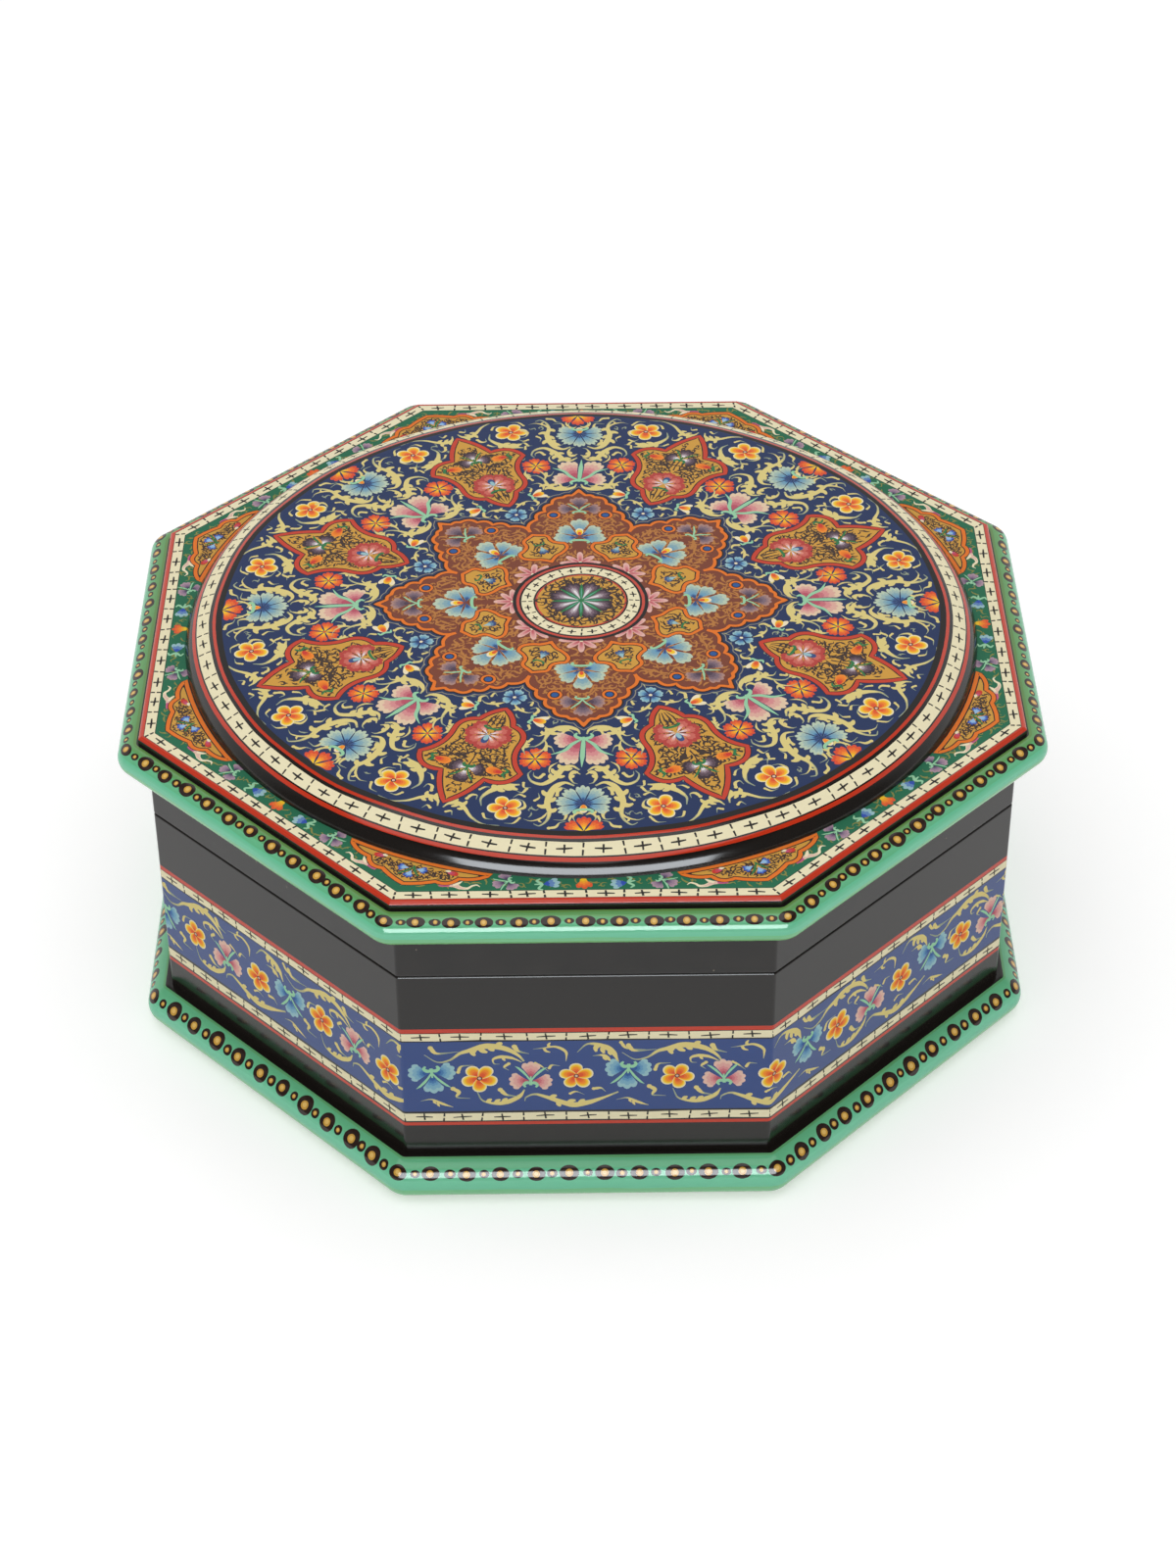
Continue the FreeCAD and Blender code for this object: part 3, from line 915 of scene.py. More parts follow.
def filled_with_curls(colour, field, pitch, width, rng, size=1.0):
    """Curls over the right half of a field and, mirrored, over its left half, none across its edge."""
    shapes = []
    for place in sprinkled(field, pitch, rng):
        mark = placed(curl(colour, width, rng), place, size=size)
        if min(shape.real.min() for _, shape in mark) > -0.3 and len(inside(field, mark)) == len(mark):
            shapes += mirrored_pair(mark)
    return shapes


def octagon(apothem):
    """Corners of an octagon with a flat side at the bottom."""
    angles = np.arange(8) * 2 * HALF_CORNER + HALF_CORNER
    return apothem / math.cos(HALF_CORNER) * np.exp(1j * angles)


def outwards(*pairs):
    """Places on the lid by (to the right, out from the middle) for the side that faces the viewer."""
    return np.array([complex(across, -out) for across, out in pairs])


def lobed(places, bulges):
    """A line of short arcs: each goes from one place to the next and stands off its chord by a bulge."""
    share = np.linspace(0, 1, 9)[:-1]
    line = []
    for start, end, bulge in zip(places, places[1:], bulges):
        away = 1j * (end - start) / abs(end - start) * bulge * 4 * share * (1 - share)
        line.append(start + (end - start) * share + away)
    return np.append(np.concatenate(line), places[-1])


def both_halves(half):
    """A closed or through-going line from its right half, which starts and ends on the axis."""
    return np.concatenate([-half[::-1].conj(), half[1:]])


def inset(line, distance):
    """A closed line drawn smaller on all sides by this distance, or larger if it is negative."""
    line = line[np.abs(np.roll(line, -1) - line) > 0.02]
    ahead = np.roll(line, -1) - np.roll(line, 1)
    area = (line.conj() * np.roll(line, -1)).imag.sum()
    moved = line + 1j * ahead / np.abs(ahead) * distance * np.sign(area)
    room = np.abs(moved[:, None] - line[None, :]).min(axis=1)
    return moved[room > 0.9 * abs(distance)]


def cartouche(line, outline, width, fill):
    """A closed field: coloured outline between thin black lines, and the fill."""
    shapes = [(INK, inset(line, -width / 2 - 0.22)), (outline, inset(line, -width / 2))]
    return shapes + [(INK, inset(line, width / 2)), (fill, inset(line, width / 2 + 0.34))]


def small_bud(edge, throat, leaf):
    """A bud on its side: calyx, dark throat and petals that open to the right."""
    petal = toned(scalloped_petal(4.6, 66, 3, 0.14), ((edge, 1.0, 1.0), (throat, 0.42, 0.5)))
    calyx = curve(spots((-1.4, 2.2), (-2.4, 1.5), (-1.3, 0), (-2.4, -1.5), (-1.4, -2.2)))
    stalk = spots((-3.2, 0.3), (-2.2, 0.2), (-1.2, 0))
    green = [(leaf, brushed(calyx, (0.4, 0.75, 0.75, 0.4))), (leaf, brushed(stalk, (0.35, 0.6, 0.7)))]
    return placed(petal, -1.2, -90) + green


def long_bud():
    """A drawn-out bud: rose tip, pink body and two white petals that curl away."""
    places = spots((-1.6, 0.1), (0.8, 0.1), (2.6, -0.9), (4.6, -1.0), (5.8, 0.2), (7.2, 0.7), (8.2, -0.1))
    body = curve(places)
    tip = curve(spots((-4.0, 0), (-2.6, 0.1), (-0.8, 0.1)))
    petal = curve(spots((0.2, 0.3), (1.8, 1.2), (2.8, 2.2)))
    return [
        (EGG_WHITE, brushed(body, (1.2, 1.7, 1.1, 0.8, 0.6, 0.2))),
        (PALE_PINK, brushed(body[: len(body) // 2], (1.2, 1.5, 0.9, 0.2))),
        (BUD_PINK, brushed(tip, (0.8, 1.5, 1.1))),
        (EGG_WHITE, brushed(petal, (0.9, 1.0, 0.2))),
    ]


def corner_cartouche(rng):
    """Brace-shaped cartouche in a corner of the panel, its inner edge along the foot of the dome."""
    places = outwards((0, 120.4), (7.3, 116.7), (12.5, 113.6), (19.5, 109.1))
    outer = both_halves(lobed(places, (-0.35, -1.3, -0.9)))
    inner = 110.9 * np.exp(1j * np.radians(np.linspace(-80.2, -99.8, 30)))
    line = np.concatenate([outer, inner[1:-1]])
    shapes = cartouche(line, OUTLINE_ORANGE, 1.1, OCHRE)
    shapes += filled_with_curls(SCROLL_BROWN, inset(line, 0.95), 1.0, 0.75, rng, 0.5)
    petal = toned(scalloped_petal(3.2, 66, 3, 0.14), ((BRIGHT_BLUE, 1.0, 1.0), (SKY, 0.74, 0.56)))
    for at, turn in ((-0.9 - 114.1j, 100), (0.7 - 114.0j, -84), (-0.1 - 114.7j, 180)):
        shapes += placed(petal, at, turn + rng.uniform(-6, 6))
    for leaf in (((-2.9, 117.2), (-1.2, 115.4), (0.3, 113.0)), ((2.4, 116.4), (0.9, 114.9), (-0.2, 112.8))):
        shapes.append((LEAF_GREEN, brushed(curve(outwards(*leaf)), (0.3, 0.7, 0.4))))
    for side in (-1, 1):
        bud = toned(round_petal(3.0, 2.1), ((BLOSSOM_RED, 1.0, 1.0), (BUD_PINK, 0.4, 0.5)))
        shapes += placed(bud, side * 8.7 - 112.1j, -side * (98 + rng.uniform(-8, 8)))
        shapes += placed([(EGG_WHITE, round_petal(1.5, 1.1))], side * 8.0 - 111.9j, -side * 80)
    return shapes


def side_flowers(rng):
    """The small flowers between two corners of the panel."""
    shapes = []
    for across in np.arange(-46, 47, 2.3):
        mark = curl(GREEN_GOLD, 0.42, rng)
        shapes += placed(mark, across - 1j * rng.uniform(110.4, 113.2), size=0.9)
    flower = three_petalled(LILAC, LILAC_MID, LILAC_DEEP, MINT)
    bud = small_bud(PALE_BLUE, BRIGHT_BLUE, MINT)
    for side in (-1, 1):
        mirrored = side > 0
        shapes += placed(long_bud(), side * 33.2 - 112.4j + rng.uniform(-0.5, 0.5), side * 4, 0.86, mirrored)
        shapes += placed(flower, side * 20.2 - 111.2j, side * rng.uniform(60, 80), 0.56)
        shapes += placed(bud, side * 9.6 - 112j, rng.uniform(-12, 12), mirrored=mirrored)
    tones = ((ORANGE_RED, 1.0, 1.0), (ORANGE, 0.66, 0.5), (YELLOW, 0.34, 0.42))
    red = toned(scalloped_petal(4.8, 74, 3, 0.16), tones)
    return shapes + placed(red, -0.6 - 109.5j, 180 + rng.uniform(-10, 10))


# Octagons laid one over the other as (paint, distance from the middle to a side), and the row of crosses
PANEL_RINGS = (
    (RED_LINE, PANEL_APOTHEM + 1.35), (INK, 117.5), (CREAM, 117.35), (INK, 114.6), (PANEL_GREEN, 114.45),
)
PANEL_CROSSES = 115.95
PANEL_CELLS = 10


def panel_painting():
    """The whole panel, in the order in which it is painted."""
    shapes = [(colour, octagon(apothem)) for colour, apothem in PANEL_RINGS]
    rng = random.Random(11)
    for side in SIDES:
        shapes += placed(side_flowers(rng), turn=SIDE_TURN * (side - 1))
    half_band = PANEL_CROSSES * math.tan(HALF_CORNER)
    for side in SIDES:
        turn = SIDE_TURN * (side - 1)
        shapes += placed(corner_cartouche(rng), turn=turn + SIDE_TURN / 2)
        marks = crossed_cells(PANEL_CELLS, 2 * half_band / PANEL_CELLS, 2.7, rng, -half_band, 0.62)
        shapes += placed(marks, -1j * PANEL_CROSSES * np.exp(1j * math.radians(turn)), turn)
    return shapes


def panel_surface(points):
    """The flat top of the panel, its rounded upper edge and its upright side."""
    sides = np.exp(-2j * HALF_CORNER * np.arange(8))
    apothem = np.max((points[:, None] * sides[None, :]).real, axis=1)
    down = np.maximum(apothem - PANEL_APOTHEM, 0)
    turn = np.minimum(down / PANEL_EDGE_RADIUS, math.pi / 2)
    reach = np.minimum(apothem, PANEL_APOTHEM) + PANEL_EDGE_RADIUS * np.sin(turn)
    height = PANEL_TOP - PANEL_EDGE_RADIUS * (1 - np.cos(turn)) - (down - PANEL_EDGE_RADIUS * turn)
    moved = points * reach / np.maximum(apothem, 1e-9)
    return np.stack([moved.real, moved.imag, height], axis=1), None


def base_only(corners, triangles):
    """One flat face under a piece, from the edge of its painted skin."""
    # On the outside, an edge belongs to one triangle alone
    known = set(map(tuple, edges_of(triangles).tolist()))
    after = {start: end for start, end in known if (end, start) not in known}
    loop = [next(iter(after))]
    while after[loop[-1]] != loop[0]:
        loop.append(after[loop[-1]])
    return np.zeros((0, 3)), [loop[::-1]]


panel_creases = []
for turn in np.linspace(0, math.pi / 2, 7):
    ring = octagon(PANEL_APOTHEM + PANEL_EDGE_RADIUS * turn)
    panel_creases.append(np.append(ring, ring[0]))
layout = cut_out(panel_painting(), octagon(PANEL_SKIN_APOTHEM), panel_creases, BLACK)
painted_piece("lid_octagon_panel", layout, panel_surface, base_only, "lid")

# Domed panel
# The round panel on the lid, built up of paper and filler to a low dome with a turned-down edge. It
# carries the main painting: a roundel, an eight-pointed star with a flower in each point, and eight
# palmettes on a blue ground of scrolling leaves and flowers, inside a ruled border.
dome_low, dome_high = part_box("lid_dome_panel")
DOME_FOOT = dome_low.z / MM
DOME_TOP = dome_high.z / MM
DOME_RADIUS = dome_high.x / MM
FIELD_RADIUS = DOME_RADIUS - 12.1
FIELD_HEIGHT = DOME_TOP - 1.7
EDGE_RADIUS = DOME_RADIUS - 2.9
EDGE_HEIGHT = FIELD_HEIGHT - 2.8


def arc_over(start, end, bulge, count):
    """Places along an arc that stands off its chord by a bulge, up and out."""
    chord = end - start
    radius = (abs(chord / 2) ** 2 + bulge**2) / (2 * bulge)
    middle = (start + end) / 2 + 1j * chord / abs(chord) * (bulge - radius)
    first, last = np.angle(start - middle), np.angle(end - middle)
    return middle + radius * np.exp(1j * np.linspace(first, last, count))


field_edge = complex(FIELD_RADIUS, FIELD_HEIGHT)
shoulder = complex(EDGE_RADIUS, EDGE_HEIGHT)
# Half the crown, then the border that falls away from it, and the turned-down edge
half_crown = arc_over(complex(-FIELD_RADIUS, FIELD_HEIGHT), field_edge, DOME_TOP - FIELD_HEIGHT, 81)[40:]
border_arc = arc_over(field_edge, shoulder, 0.62, 15)
edge_arc = arc_over(shoulder, complex(DOME_RADIUS, DOME_FOOT), 0.45, 11)
DOME_LINE = np.concatenate([half_crown, border_arc[1:], edge_arc[1:]])
DOME_SLOPE = np.unwrap(np.angle(np.gradient(DOME_LINE)))
ROUND = np.exp(2j * math.pi * np.arange(240) / 240)


def dome_surface(points):
    """From the flat layout, seen from above, to the dome."""
    radius = np.abs(points)
    height = np.interp(radius, DOME_LINE.real, DOME_LINE.imag)
    slope = np.interp(radius, DOME_LINE.real, DOME_SLOPE)
    away = points / np.maximum(radius, 1e-9)
    outward = np.stack([-away.real * np.sin(slope), -away.imag * np.sin(slope), np.cos(slope)], axis=1)
    return np.stack([points.real, points.imag, height], axis=1), outward


def band(colour, inner, outer):
    """A ruled ring."""
    return colour, np.concatenate([outer * np.append(ROUND, 1), inner * np.append(ROUND, 1)[::-1]])


def bent(shapes, radius):
    """Shapes laid along X wrapped round a circle."""
    return [(colour, (radius + shape.imag) * np.exp(1j * shape.real / radius)) for colour, shape in shapes]


GROUND_BLUE = paint("ground blue", 17, 42, 88)
MINT_DEEP = paint("deep mint", 96, 168, 146)
MAROON = paint("maroon", 122, 58, 34)
TAN = paint("tan scroll", 182, 118, 52)
BEIGE_LINE = paint("beige line", 142, 136, 118)
PALMETTE_RED = paint("palmette red", 198, 58, 34)
FLOWER_RED = paint("flower red", 182, 60, 52)
FLOWER_PINK = paint("flower pink", 222, 140, 122)
PETAL_EDGE = paint("petal edge", 186, 202, 178)
PETAL_BLUE = paint("petal blue", 132, 168, 178)
THROAT_BLUE = paint("throat blue", 44, 74, 128)
MAROON_LILAC = paint("lilac on maroon", 172, 132, 122)
PLUM = paint("plum", 122, 100, 112)
PLUM_DARK = paint("dark plum", 76, 58, 76)
PURPLE = paint("dark purple", 54, 36, 48)
PEARL = paint("pearl", 226, 220, 222)
FIRE = paint("fire red", 222, 74, 34)
CREAM_PINK = paint("cream pink", 228, 200, 168)
LOTUS_PALE = paint("pale lotus", 228, 180, 168)
LOTUS_DEEP = paint("deep lotus", 190, 92, 98)


def curls_in_gaps(colour, field, pitch, width, clear, shapes, rng):
    """Small curls where the shapes laid so far leave a gap wider than twice this clearance."""
    taken = np.concatenate([shape for _, shape in shapes])
    curls = []
    for place in sprinkled(field, pitch, rng):
        if np.abs(taken - place).min() > clear:
            curls += placed(curl(colour, width, rng), place, size=0.75)
    return curls


def fire_blossom(rng, count=6, spread=360.0):
    """A red-orange flower of scalloped petals, yellow at its middle."""
    tones = ((FIRE, 1.0, 1.0), (ORANGE, 0.62, 0.46), (YELLOW, 0.34, 0.24))
    petal = toned(scalloped_petal(4.5, 0.94 * spread / count, 3, 0.12), tones)
    first = rng.uniform(0, 60) if spread == 360 else -spread / 2 + spread / count / 2
    shapes = ring_of(petal, count, first, spread)
    return shapes + [disc(FIRE, 0, 0.42, 8)] if spread == 360 else shapes


def drop(colours, length, width):
    """Nested drops, wide end down, for the heart of a flower."""
    petal = round_petal(length, width).conj()
    return [(colour, -1j * length * 0.3 + petal * size) for colour, size in colours]


def crescent(colour, at, half_width, rise, thick):
    """A calyx: a crescent with its tips curled up."""
    half = spots(
        (half_width * 0.8, 1.25 * rise), (half_width, 0.75 * rise), (half_width * 0.7, 0.15 * rise), (0, 0)
    )
    line = curve(np.concatenate([-half.conj(), half[-2::-1]]))
    return colour, at + tapered(line, thick, 0.7, 0.9, 1.0, 1.1, 1.0, 0.9, 0.7)


# Discs laid one over the other as (paint, radius), and the ring of crosses
ROUNDEL_RINGS = (
    (INK, 18.9), (RED_LINE, 17.9), (INK, 17.1), (CREAM, 16.5), (INK, 13.2), (RED_LINE, 12.7), (OCHRE, 12.2),
)
ROUNDEL_CROSSES = 14.9
ROUNDEL_CELLS = 16


def roundel(rng):
    """The middle of the lid: a rosette on ochre inside a ruled border."""
    shapes = [(colour, radius * ROUND) for colour, radius in ROUNDEL_RINGS]
    pitch = 2 * math.pi * ROUNDEL_CROSSES / ROUNDEL_CELLS
    shapes += bent(crossed_cells(ROUNDEL_CELLS, pitch, 3.0, rng, tall=0.3), ROUNDEL_CROSSES)
    for place in sprinkled(11.6 * ROUND, 1.7, rng):
        if abs(place) > 7.5:
            shapes += placed(curl(SCROLL_BROWN, 0.5, rng), place)
    tones = ((PURPLE, 1.0, 1.0), (PLUM, 0.84, 0.46), (PEARL, 0.62, 0.14))
    shapes += ring_of(toned(scalloped_petal(9.3, 44, 3, 0.1), tones), 8, SIDE_TURN / 2)
    long, short = spots((0, 0), (0, 4), (0, 8.2)), spots((0, 0.5), (0, 3.6), (0, 6))
    ray = [(LEAF_GREEN, brushed(long, (0.4, 1.4, 0.3))), (MINT_DEEP, brushed(short, (0.1, 0.4, 0.1)))]
    return shapes + ring_of(ray, 8) + [disc(LEAF_GREEN, 0, 0.7, 12)]


def half_lotus(rng):
    """Five drops that stand round the roundel at the foot of a star point."""
    shapes = []
    foot = -18.7j
    tones = ((LOTUS_PALE, 1.0, 1.0), (MID_PINK, 0.66, 0.62), (LOTUS_DEEP, 0.4, 0.3))
    for tip in outwards((6, 18.8), (-6, 18.8), (4.0, 22.0), (-4.0, 22.0), (0, 24.3)):
        up = tip + unsteady(rng, 0.2, 0.2) - foot
        shapes += placed(toned(round_petal(abs(up), 2.2), tones), foot, math.degrees(np.angle(up / 1j)))
    return shapes + [disc(CREAM, -18.9j, 0.5, 8)]


STAR_PLACES = outwards(
    (0, 57.0), (2.0, 53.9), (4.4, 52.8), (7.7, 49.3), (9.8, 45.2), (12.3, 41.0), (14.3, 34.6)
)
STAR_HALF = lobed(STAR_PLACES, (0.2, -0.6, -1.3, -1.2, -1.3, -1.5))
STAR = np.concatenate([both_halves(STAR_HALF) * np.exp(2j * HALF_CORNER * index) for index in range(8)])


def star_point(rng):
    """What is painted in one point of the star."""
    wedge = np.append(both_halves(STAR_HALF), 0)
    curls = filled_with_curls(TAN, inset(wedge, 1.0), 2.2, 0.6, rng, 0.95)
    shapes = [(colour, shape) for colour, shape in curls if np.abs(shape).min() > 19.4]
    for side in (-1, 1):
        stem = curve(outwards((0, 44.9), (side * 2.4, 43.2), (side * 4.6, 40.4), (side * 8.4, 41)))
        shapes.append((TAN, brushed(stem, (0.3, 0.5, 0.5, 0.25))))
        eye = side * 7.4 - 43.3j
        for colour, radius in ((INK, 2.25), (OUTLINE_ORANGE, 2.05), (INK, 1.35)):
            shapes.append(disc(colour, eye, radius))
        shapes.append(disc(DEEP_BLUE, eye, 1.0, 12))
    tones = (
        (PETAL_EDGE, 1.0, 1.0), (PETAL_BLUE, 0.72, 0.6), (MID_BLUE, 0.44, 0.28), (THROAT_BLUE, 0.32, 0.17),
    )
    petal = toned(scalloped_petal(7.5, 46, 3, 0.09), tones)
    broad = toned(scalloped_petal(7.6, 62, 4, 0.09), tones)
    fan = placed(petal, turn=50) + placed(petal, turn=-50)
    fan += placed(broad, turn=103) + placed(broad, turn=-103)
    fan += toned(scalloped_petal(9.0, 44, 3, 0.08), tones)
    shapes += placed(fan, -32j, 180 + rng.uniform(-3, 3), rng.uniform(0.98, 1.03))
    shapes += placed(drop(((EGG_WHITE, 1.0), (YELLOW, 0.8), (ORANGE_RED, 0.5)), 3.6, 2.8), -31.6j)
    shapes.append(crescent(MINT, -30.3j, 2.7, 1.2, 0.85))
    tones = ((MAROON_LILAC, 1.0, 1.0), (PLUM, 0.78, 0.62), (PLUM_DARK, 0.44, 0.34))
    shapes += mirrored_pair(placed(toned(scalloped_petal(5.4, 76, 4, 0.1), tones), 0.8 - 46.6j, -88))
    shapes += placed(toned(scalloped_petal(6.6, 62, 4, 0.1), tones), -46.4j, 180)
    for side in (-1, 1):
        stem = curve(outwards((0, 45.6), (side * 1.2, 47.4), (side * 3.2, 49.4)))
        shapes.append((MINT, brushed(stem, (0.4, 0.6, 0.3))))
    shapes.append(crescent(MINT, -45.2j, 1.8, 0.9, 0.7))
    return shapes


SHIELD_PLACES = outwards(
    (0, 21.0), (2.6, 23.4), (5.6, 24.7), (6.9, 28.3), (4.2, 30.2), (3.9, 32.6), (2.8, 34.4), (0, 35.9)
)
SHIELD = both_halves(lobed(SHIELD_PLACES, (-0.2, 0.2, 0.8, -0.2, -0.3, 0.3, -0.1)))


def shield(rng):
    """The ochre cartouche between two points of the star."""
    shapes = cartouche(SHIELD, OUTLINE_ORANGE, 1.0, OCHRE)
    shapes += filled_with_curls(SCROLL_BROWN, inset(SHIELD, 1.1), 1.3, 0.7, rng, 0.62)
    bud = toned(scalloped_petal(4.2, 50, 3, 0.12), ((THROAT_BLUE, 1.0, 1.0), (PALE_BLUE, 0.62, 0.5)))
    shapes += placed(bud, -29.6j, rng.uniform(-5, 5))
    shapes.append(crescent(LEAF_GREEN, -30.2j, 1.5, -0.9, 0.6))
    return shapes


def carnation(rng):
    """A wide blue flower that opens towards the middle, from a mint calyx."""
    tones = (
        (PETAL_EDGE, 1.0, 1.0), (PETAL_BLUE, 0.66, 0.58), (MID_BLUE, 0.42, 0.3), (THROAT_BLUE, 0.31, 0.18),
    )
    shapes = ring_of(toned(scalloped_petal(7.4, 38, 3, 0.12), tones), 7, -117 + rng.uniform(-4, 4), 273)
    shapes += placed(drop(((EGG_WHITE, 1.0), (YELLOW, 0.82), (ORANGE, 0.6)), 3.4, 2.6), 0.6j)
    return shapes + [crescent(MINT, -2.4j, 2.4, -1.2, 0.95)]


def lily():
    """The pink flower under each star point: four scalloped petals and three long mint leaves."""
    tones = ((CREAM_PINK, 1.0, 1.0), (MID_PINK, 0.66, 0.62), (ROSE, 0.36, 0.34))
    shapes = mirrored_pair(placed(toned(scalloped_petal(7.0, 72, 4, 0.1), tones), 1.0 - 0.9j, -97))
    shapes += mirrored_pair(placed(toned(scalloped_petal(10.8, 42, 4, 0.08), tones), 0.5 - 1.4j, -156))
    leaf = curve(spots((0.4, -1), (2.8, -3.0), (4.8, -5.8), (8.2, -7.4)))
    horn = curve(spots((0, -0.8), (1.6, -0.4), (2.3, 0.6), (1.8, 1.5)))
    shapes += mirrored_pair([
        (MINT, brushed(leaf, (0.6, 1.1, 1.0, 0.15))), (MINT, brushed(horn, (1.0, 1.1, 0.9, 0.5))),
    ])
    shapes.append((MINT, brushed(spots((0, 0), (0, -3), (0, -8), (0, -12.4)), (0.6, 1.2, 1.3, 0.15))))
    return shapes


# Scrolls beside the axis of a star point, and beside that of a palmette: (places, width, lobes)
POINT_SCROLLS = (
    (((0.9, 60.2), (1.6, 58.4), (4.2, 57.2), (7.2, 57.7),
      (9.3, 60.0), (10.4, 62.8), (12.4, 64.9), (14.4, 65.1)), 1.6,
     ((0.36, 1.7, -130), (0.46, 2.4, -120), (0.56, 2.4, -110), (0.5, 2.4, 70), (0.6, 2.2, 80))),
    (((0.9, 75.4), (2.8, 73.8), (5.2, 74.9), (7.4, 78.6),
      (10.4, 80.9), (13.2, 79.7), (14.1, 77.0), (13.2, 75.4)), 1.7,
     ((0.3, 2.0, 100), (0.4, 2.6, 110), (0.48, 2.2, 120), (0.32, 2.2, -120), (0.44, 2.0, -120))),
    (((0.5, 77.0), (2.2, 75.8), (3.1, 78.0), (2.4, 80.2), (1.2, 80.8)), 1.1,
     ((0.4, 1.5, -120), (0.6, 1.4, -120))),
    (((2.7, 81.6), (5.0, 80.3), (7.4, 81.8), (8.9, 85.0), (9.7, 88.6),
      (9.2, 92.0), (9.9, 95.3), (11.8, 97.4), (13.4, 96.6)), 1.9,
     ((0.34, 2.6, -130), (0.42, 2.6, 120), (0.5, 2.4, -125), (0.58, 2.6, 110), (0.66, 2.0, -120))),
    (((0.4, 93.0), (1.8, 92.3), (3.0, 94.0), (2.3, 96.2)), 1.0, ((0.5, 1.3, 110),)),
    (((9.0, 91.6), (10.6, 94.2), (13.4, 95.4), (15.4, 94.6)), 0.7, ((0.5, 1.4, -100),)),
    (((6.8, 71.8), (8.6, 73.4), (9.0, 75.6), (8.0, 77.0)), 0.6, ()),
)
POINT_COMMAS = (
    (((5.4, 60.2), (4.8, 58.9), (3.2, 58.9), (2.2, 60.4)), 0.8),
    (((9.8, 66.8), (9.6, 65.2), (8.3, 65.8), (7.6, 68.0)), 0.9),
    (((10.4, 76.8), (11.6, 78.2), (12.9, 77.4), (13.0, 75.9)), 0.9),
    (((7.1, 84.8), (6.8, 83.0), (5.8, 81.9), (4.2, 82.8)), 0.9),
    (((5.6, 91.4), (4.7, 92.8), (5.4, 94.8), (8.0, 94.6)), 1.0),
    (((9.4, 98.2), (7.6, 97.8), (6.6, 96.2), (4.8, 95.6)), 0.9),
    (((13.4, 62.4), (14.4, 63.6), (15.2, 62.8), (15.4, 65.4)), 0.8),
    (((14.8, 82.4), (16, 84), (17.6, 83.2)), 0.8), (((3.4, 93.6), (3.9, 95.4), (3.0, 97.2)), 0.7),
    (((12.6, 87.4), (11.4, 86.2), (11.6, 84.4)), 0.7),
)
PALMETTE_SCROLLS = (
    (((1.2, 50.4), (3.2, 52.0), (5.8, 52.7), (7.6, 51.8)), 0.9, ((0.6, 1.5, 130), (0.4, 1.3, -110))),
    (((16.0, 81.2), (12.8, 83.0), (9.9, 86.2), (8.6, 89.8), (9.8, 92.6)), 1.9,
     ((0.26, 2.6, 120), (0.36, 2.4, 120), (0.46, 2.2, 110), (0.34, 2.0, -120), (0.5, 1.8, -120))),
    (((0.9, 96.4), (1.7, 94.5), (3.8, 93.5), (6.2, 94.7), (9.2, 97.4), (13.0, 98.7), (17.0, 97.8)), 1.4,
     ((0.3, 2.4, 70), (0.4, 2.2, -100), (0.46, 2.0, 100), (0.52, 1.8, -100))),
    (((12.4, 56.6), (13.4, 58.6), (12.6, 60.8), (10.6, 61.0)), 0.8, ((0.5, 1.3, -100),)),
    (((10.6, 64.4), (10.7, 67.2), (12.2, 69.4)), 1.1, ((0.5, 1.4, 100), (0.3, 1.2, 100))),
    (((14.2, 61.5), (15.8, 64.0), (15.2, 67.0), (12.8, 68.8)), 0.7, ()),
)
PALMETTE_COMMAS = (
    (((8.2, 52.2), (8.6, 50.6), (7.4, 49.6), (6.2, 50.6)), 0.9),
    (((5.6, 49.2), (5.4, 47.7), (4.2, 48.6)), 0.7), (((11.6, 53.2), (13.0, 51.6), (14.4, 51.0)), 0.8),
    (((2.2, 97.6), (3.4, 96.9), (4.2, 98.4)), 0.7),
    (((5.0, 91.2), (5.6, 89.5), (7.0, 89.2), (7.4, 90.8)), 0.9),
    (((19.2, 90.4), (20.4, 88.8), (19.2, 86.8), (17.0, 86.4)), 0.9),
    (((16.4, 80.0), (17.2, 81.6), (19.0, 81.0)), 0.7), (((8.4, 57.4), (9.2, 58.8), (8.4, 60.0)), 0.7),
    (((20.6, 93.4), (19.8, 95.8), (17.6, 96.6)), 0.7), (((18.6, 84.6), (17.0, 84.4), (16.0, 86.2)), 0.7),
    (((6.8, 86.6), (7.8, 85.2), (9.2, 84.8)), 0.7), (((11.4, 94.8), (12.6, 96.2), (14.6, 96.0)), 0.7),
)


def scrolls_beside(scrolls, commas, rng):
    """Scrolling leaves on both sides of an axis, not quite alike."""
    shapes = []
    for side in (-1, 1):
        half = []
        for places, width, lobes in scrolls:
            half += scroll(outwards(*places) + unsteady(rng, 0.3, 0.3), width, lobes)
        for places, width in commas:
            half += comma(outwards(*places) + unsteady(rng, 0.3, 0.3), width)
        shapes += placed(half, mirrored=side < 0)
    return shapes


def below_star_point(rng):
    """The blue ground on the axis of a star point: lily, fire blossoms, carnation and scrolls."""
    shapes = scrolls_beside(POINT_SCROLLS, POINT_COMMAS, rng)
    shapes += placed(lily(), -61.6j, rng.uniform(-3, 3))
    for side in (-1, 1):
        shapes += placed(fire_blossom(rng), side * 12.5 - 70.5j, size=rng.uniform(0.95, 1.05))
        at = -92.3j * np.exp(1j * math.radians(side * 12.7))
        shapes += placed(orange_blossom(rng), at, size=rng.uniform(4.7, 5.1))
    shapes += placed(carnation(rng), -88.6j + rng.uniform(-0.6, 0.6))
    shapes += placed(fire_blossom(rng, 3, 165.0), -99.6j, size=1.3)
    return shapes


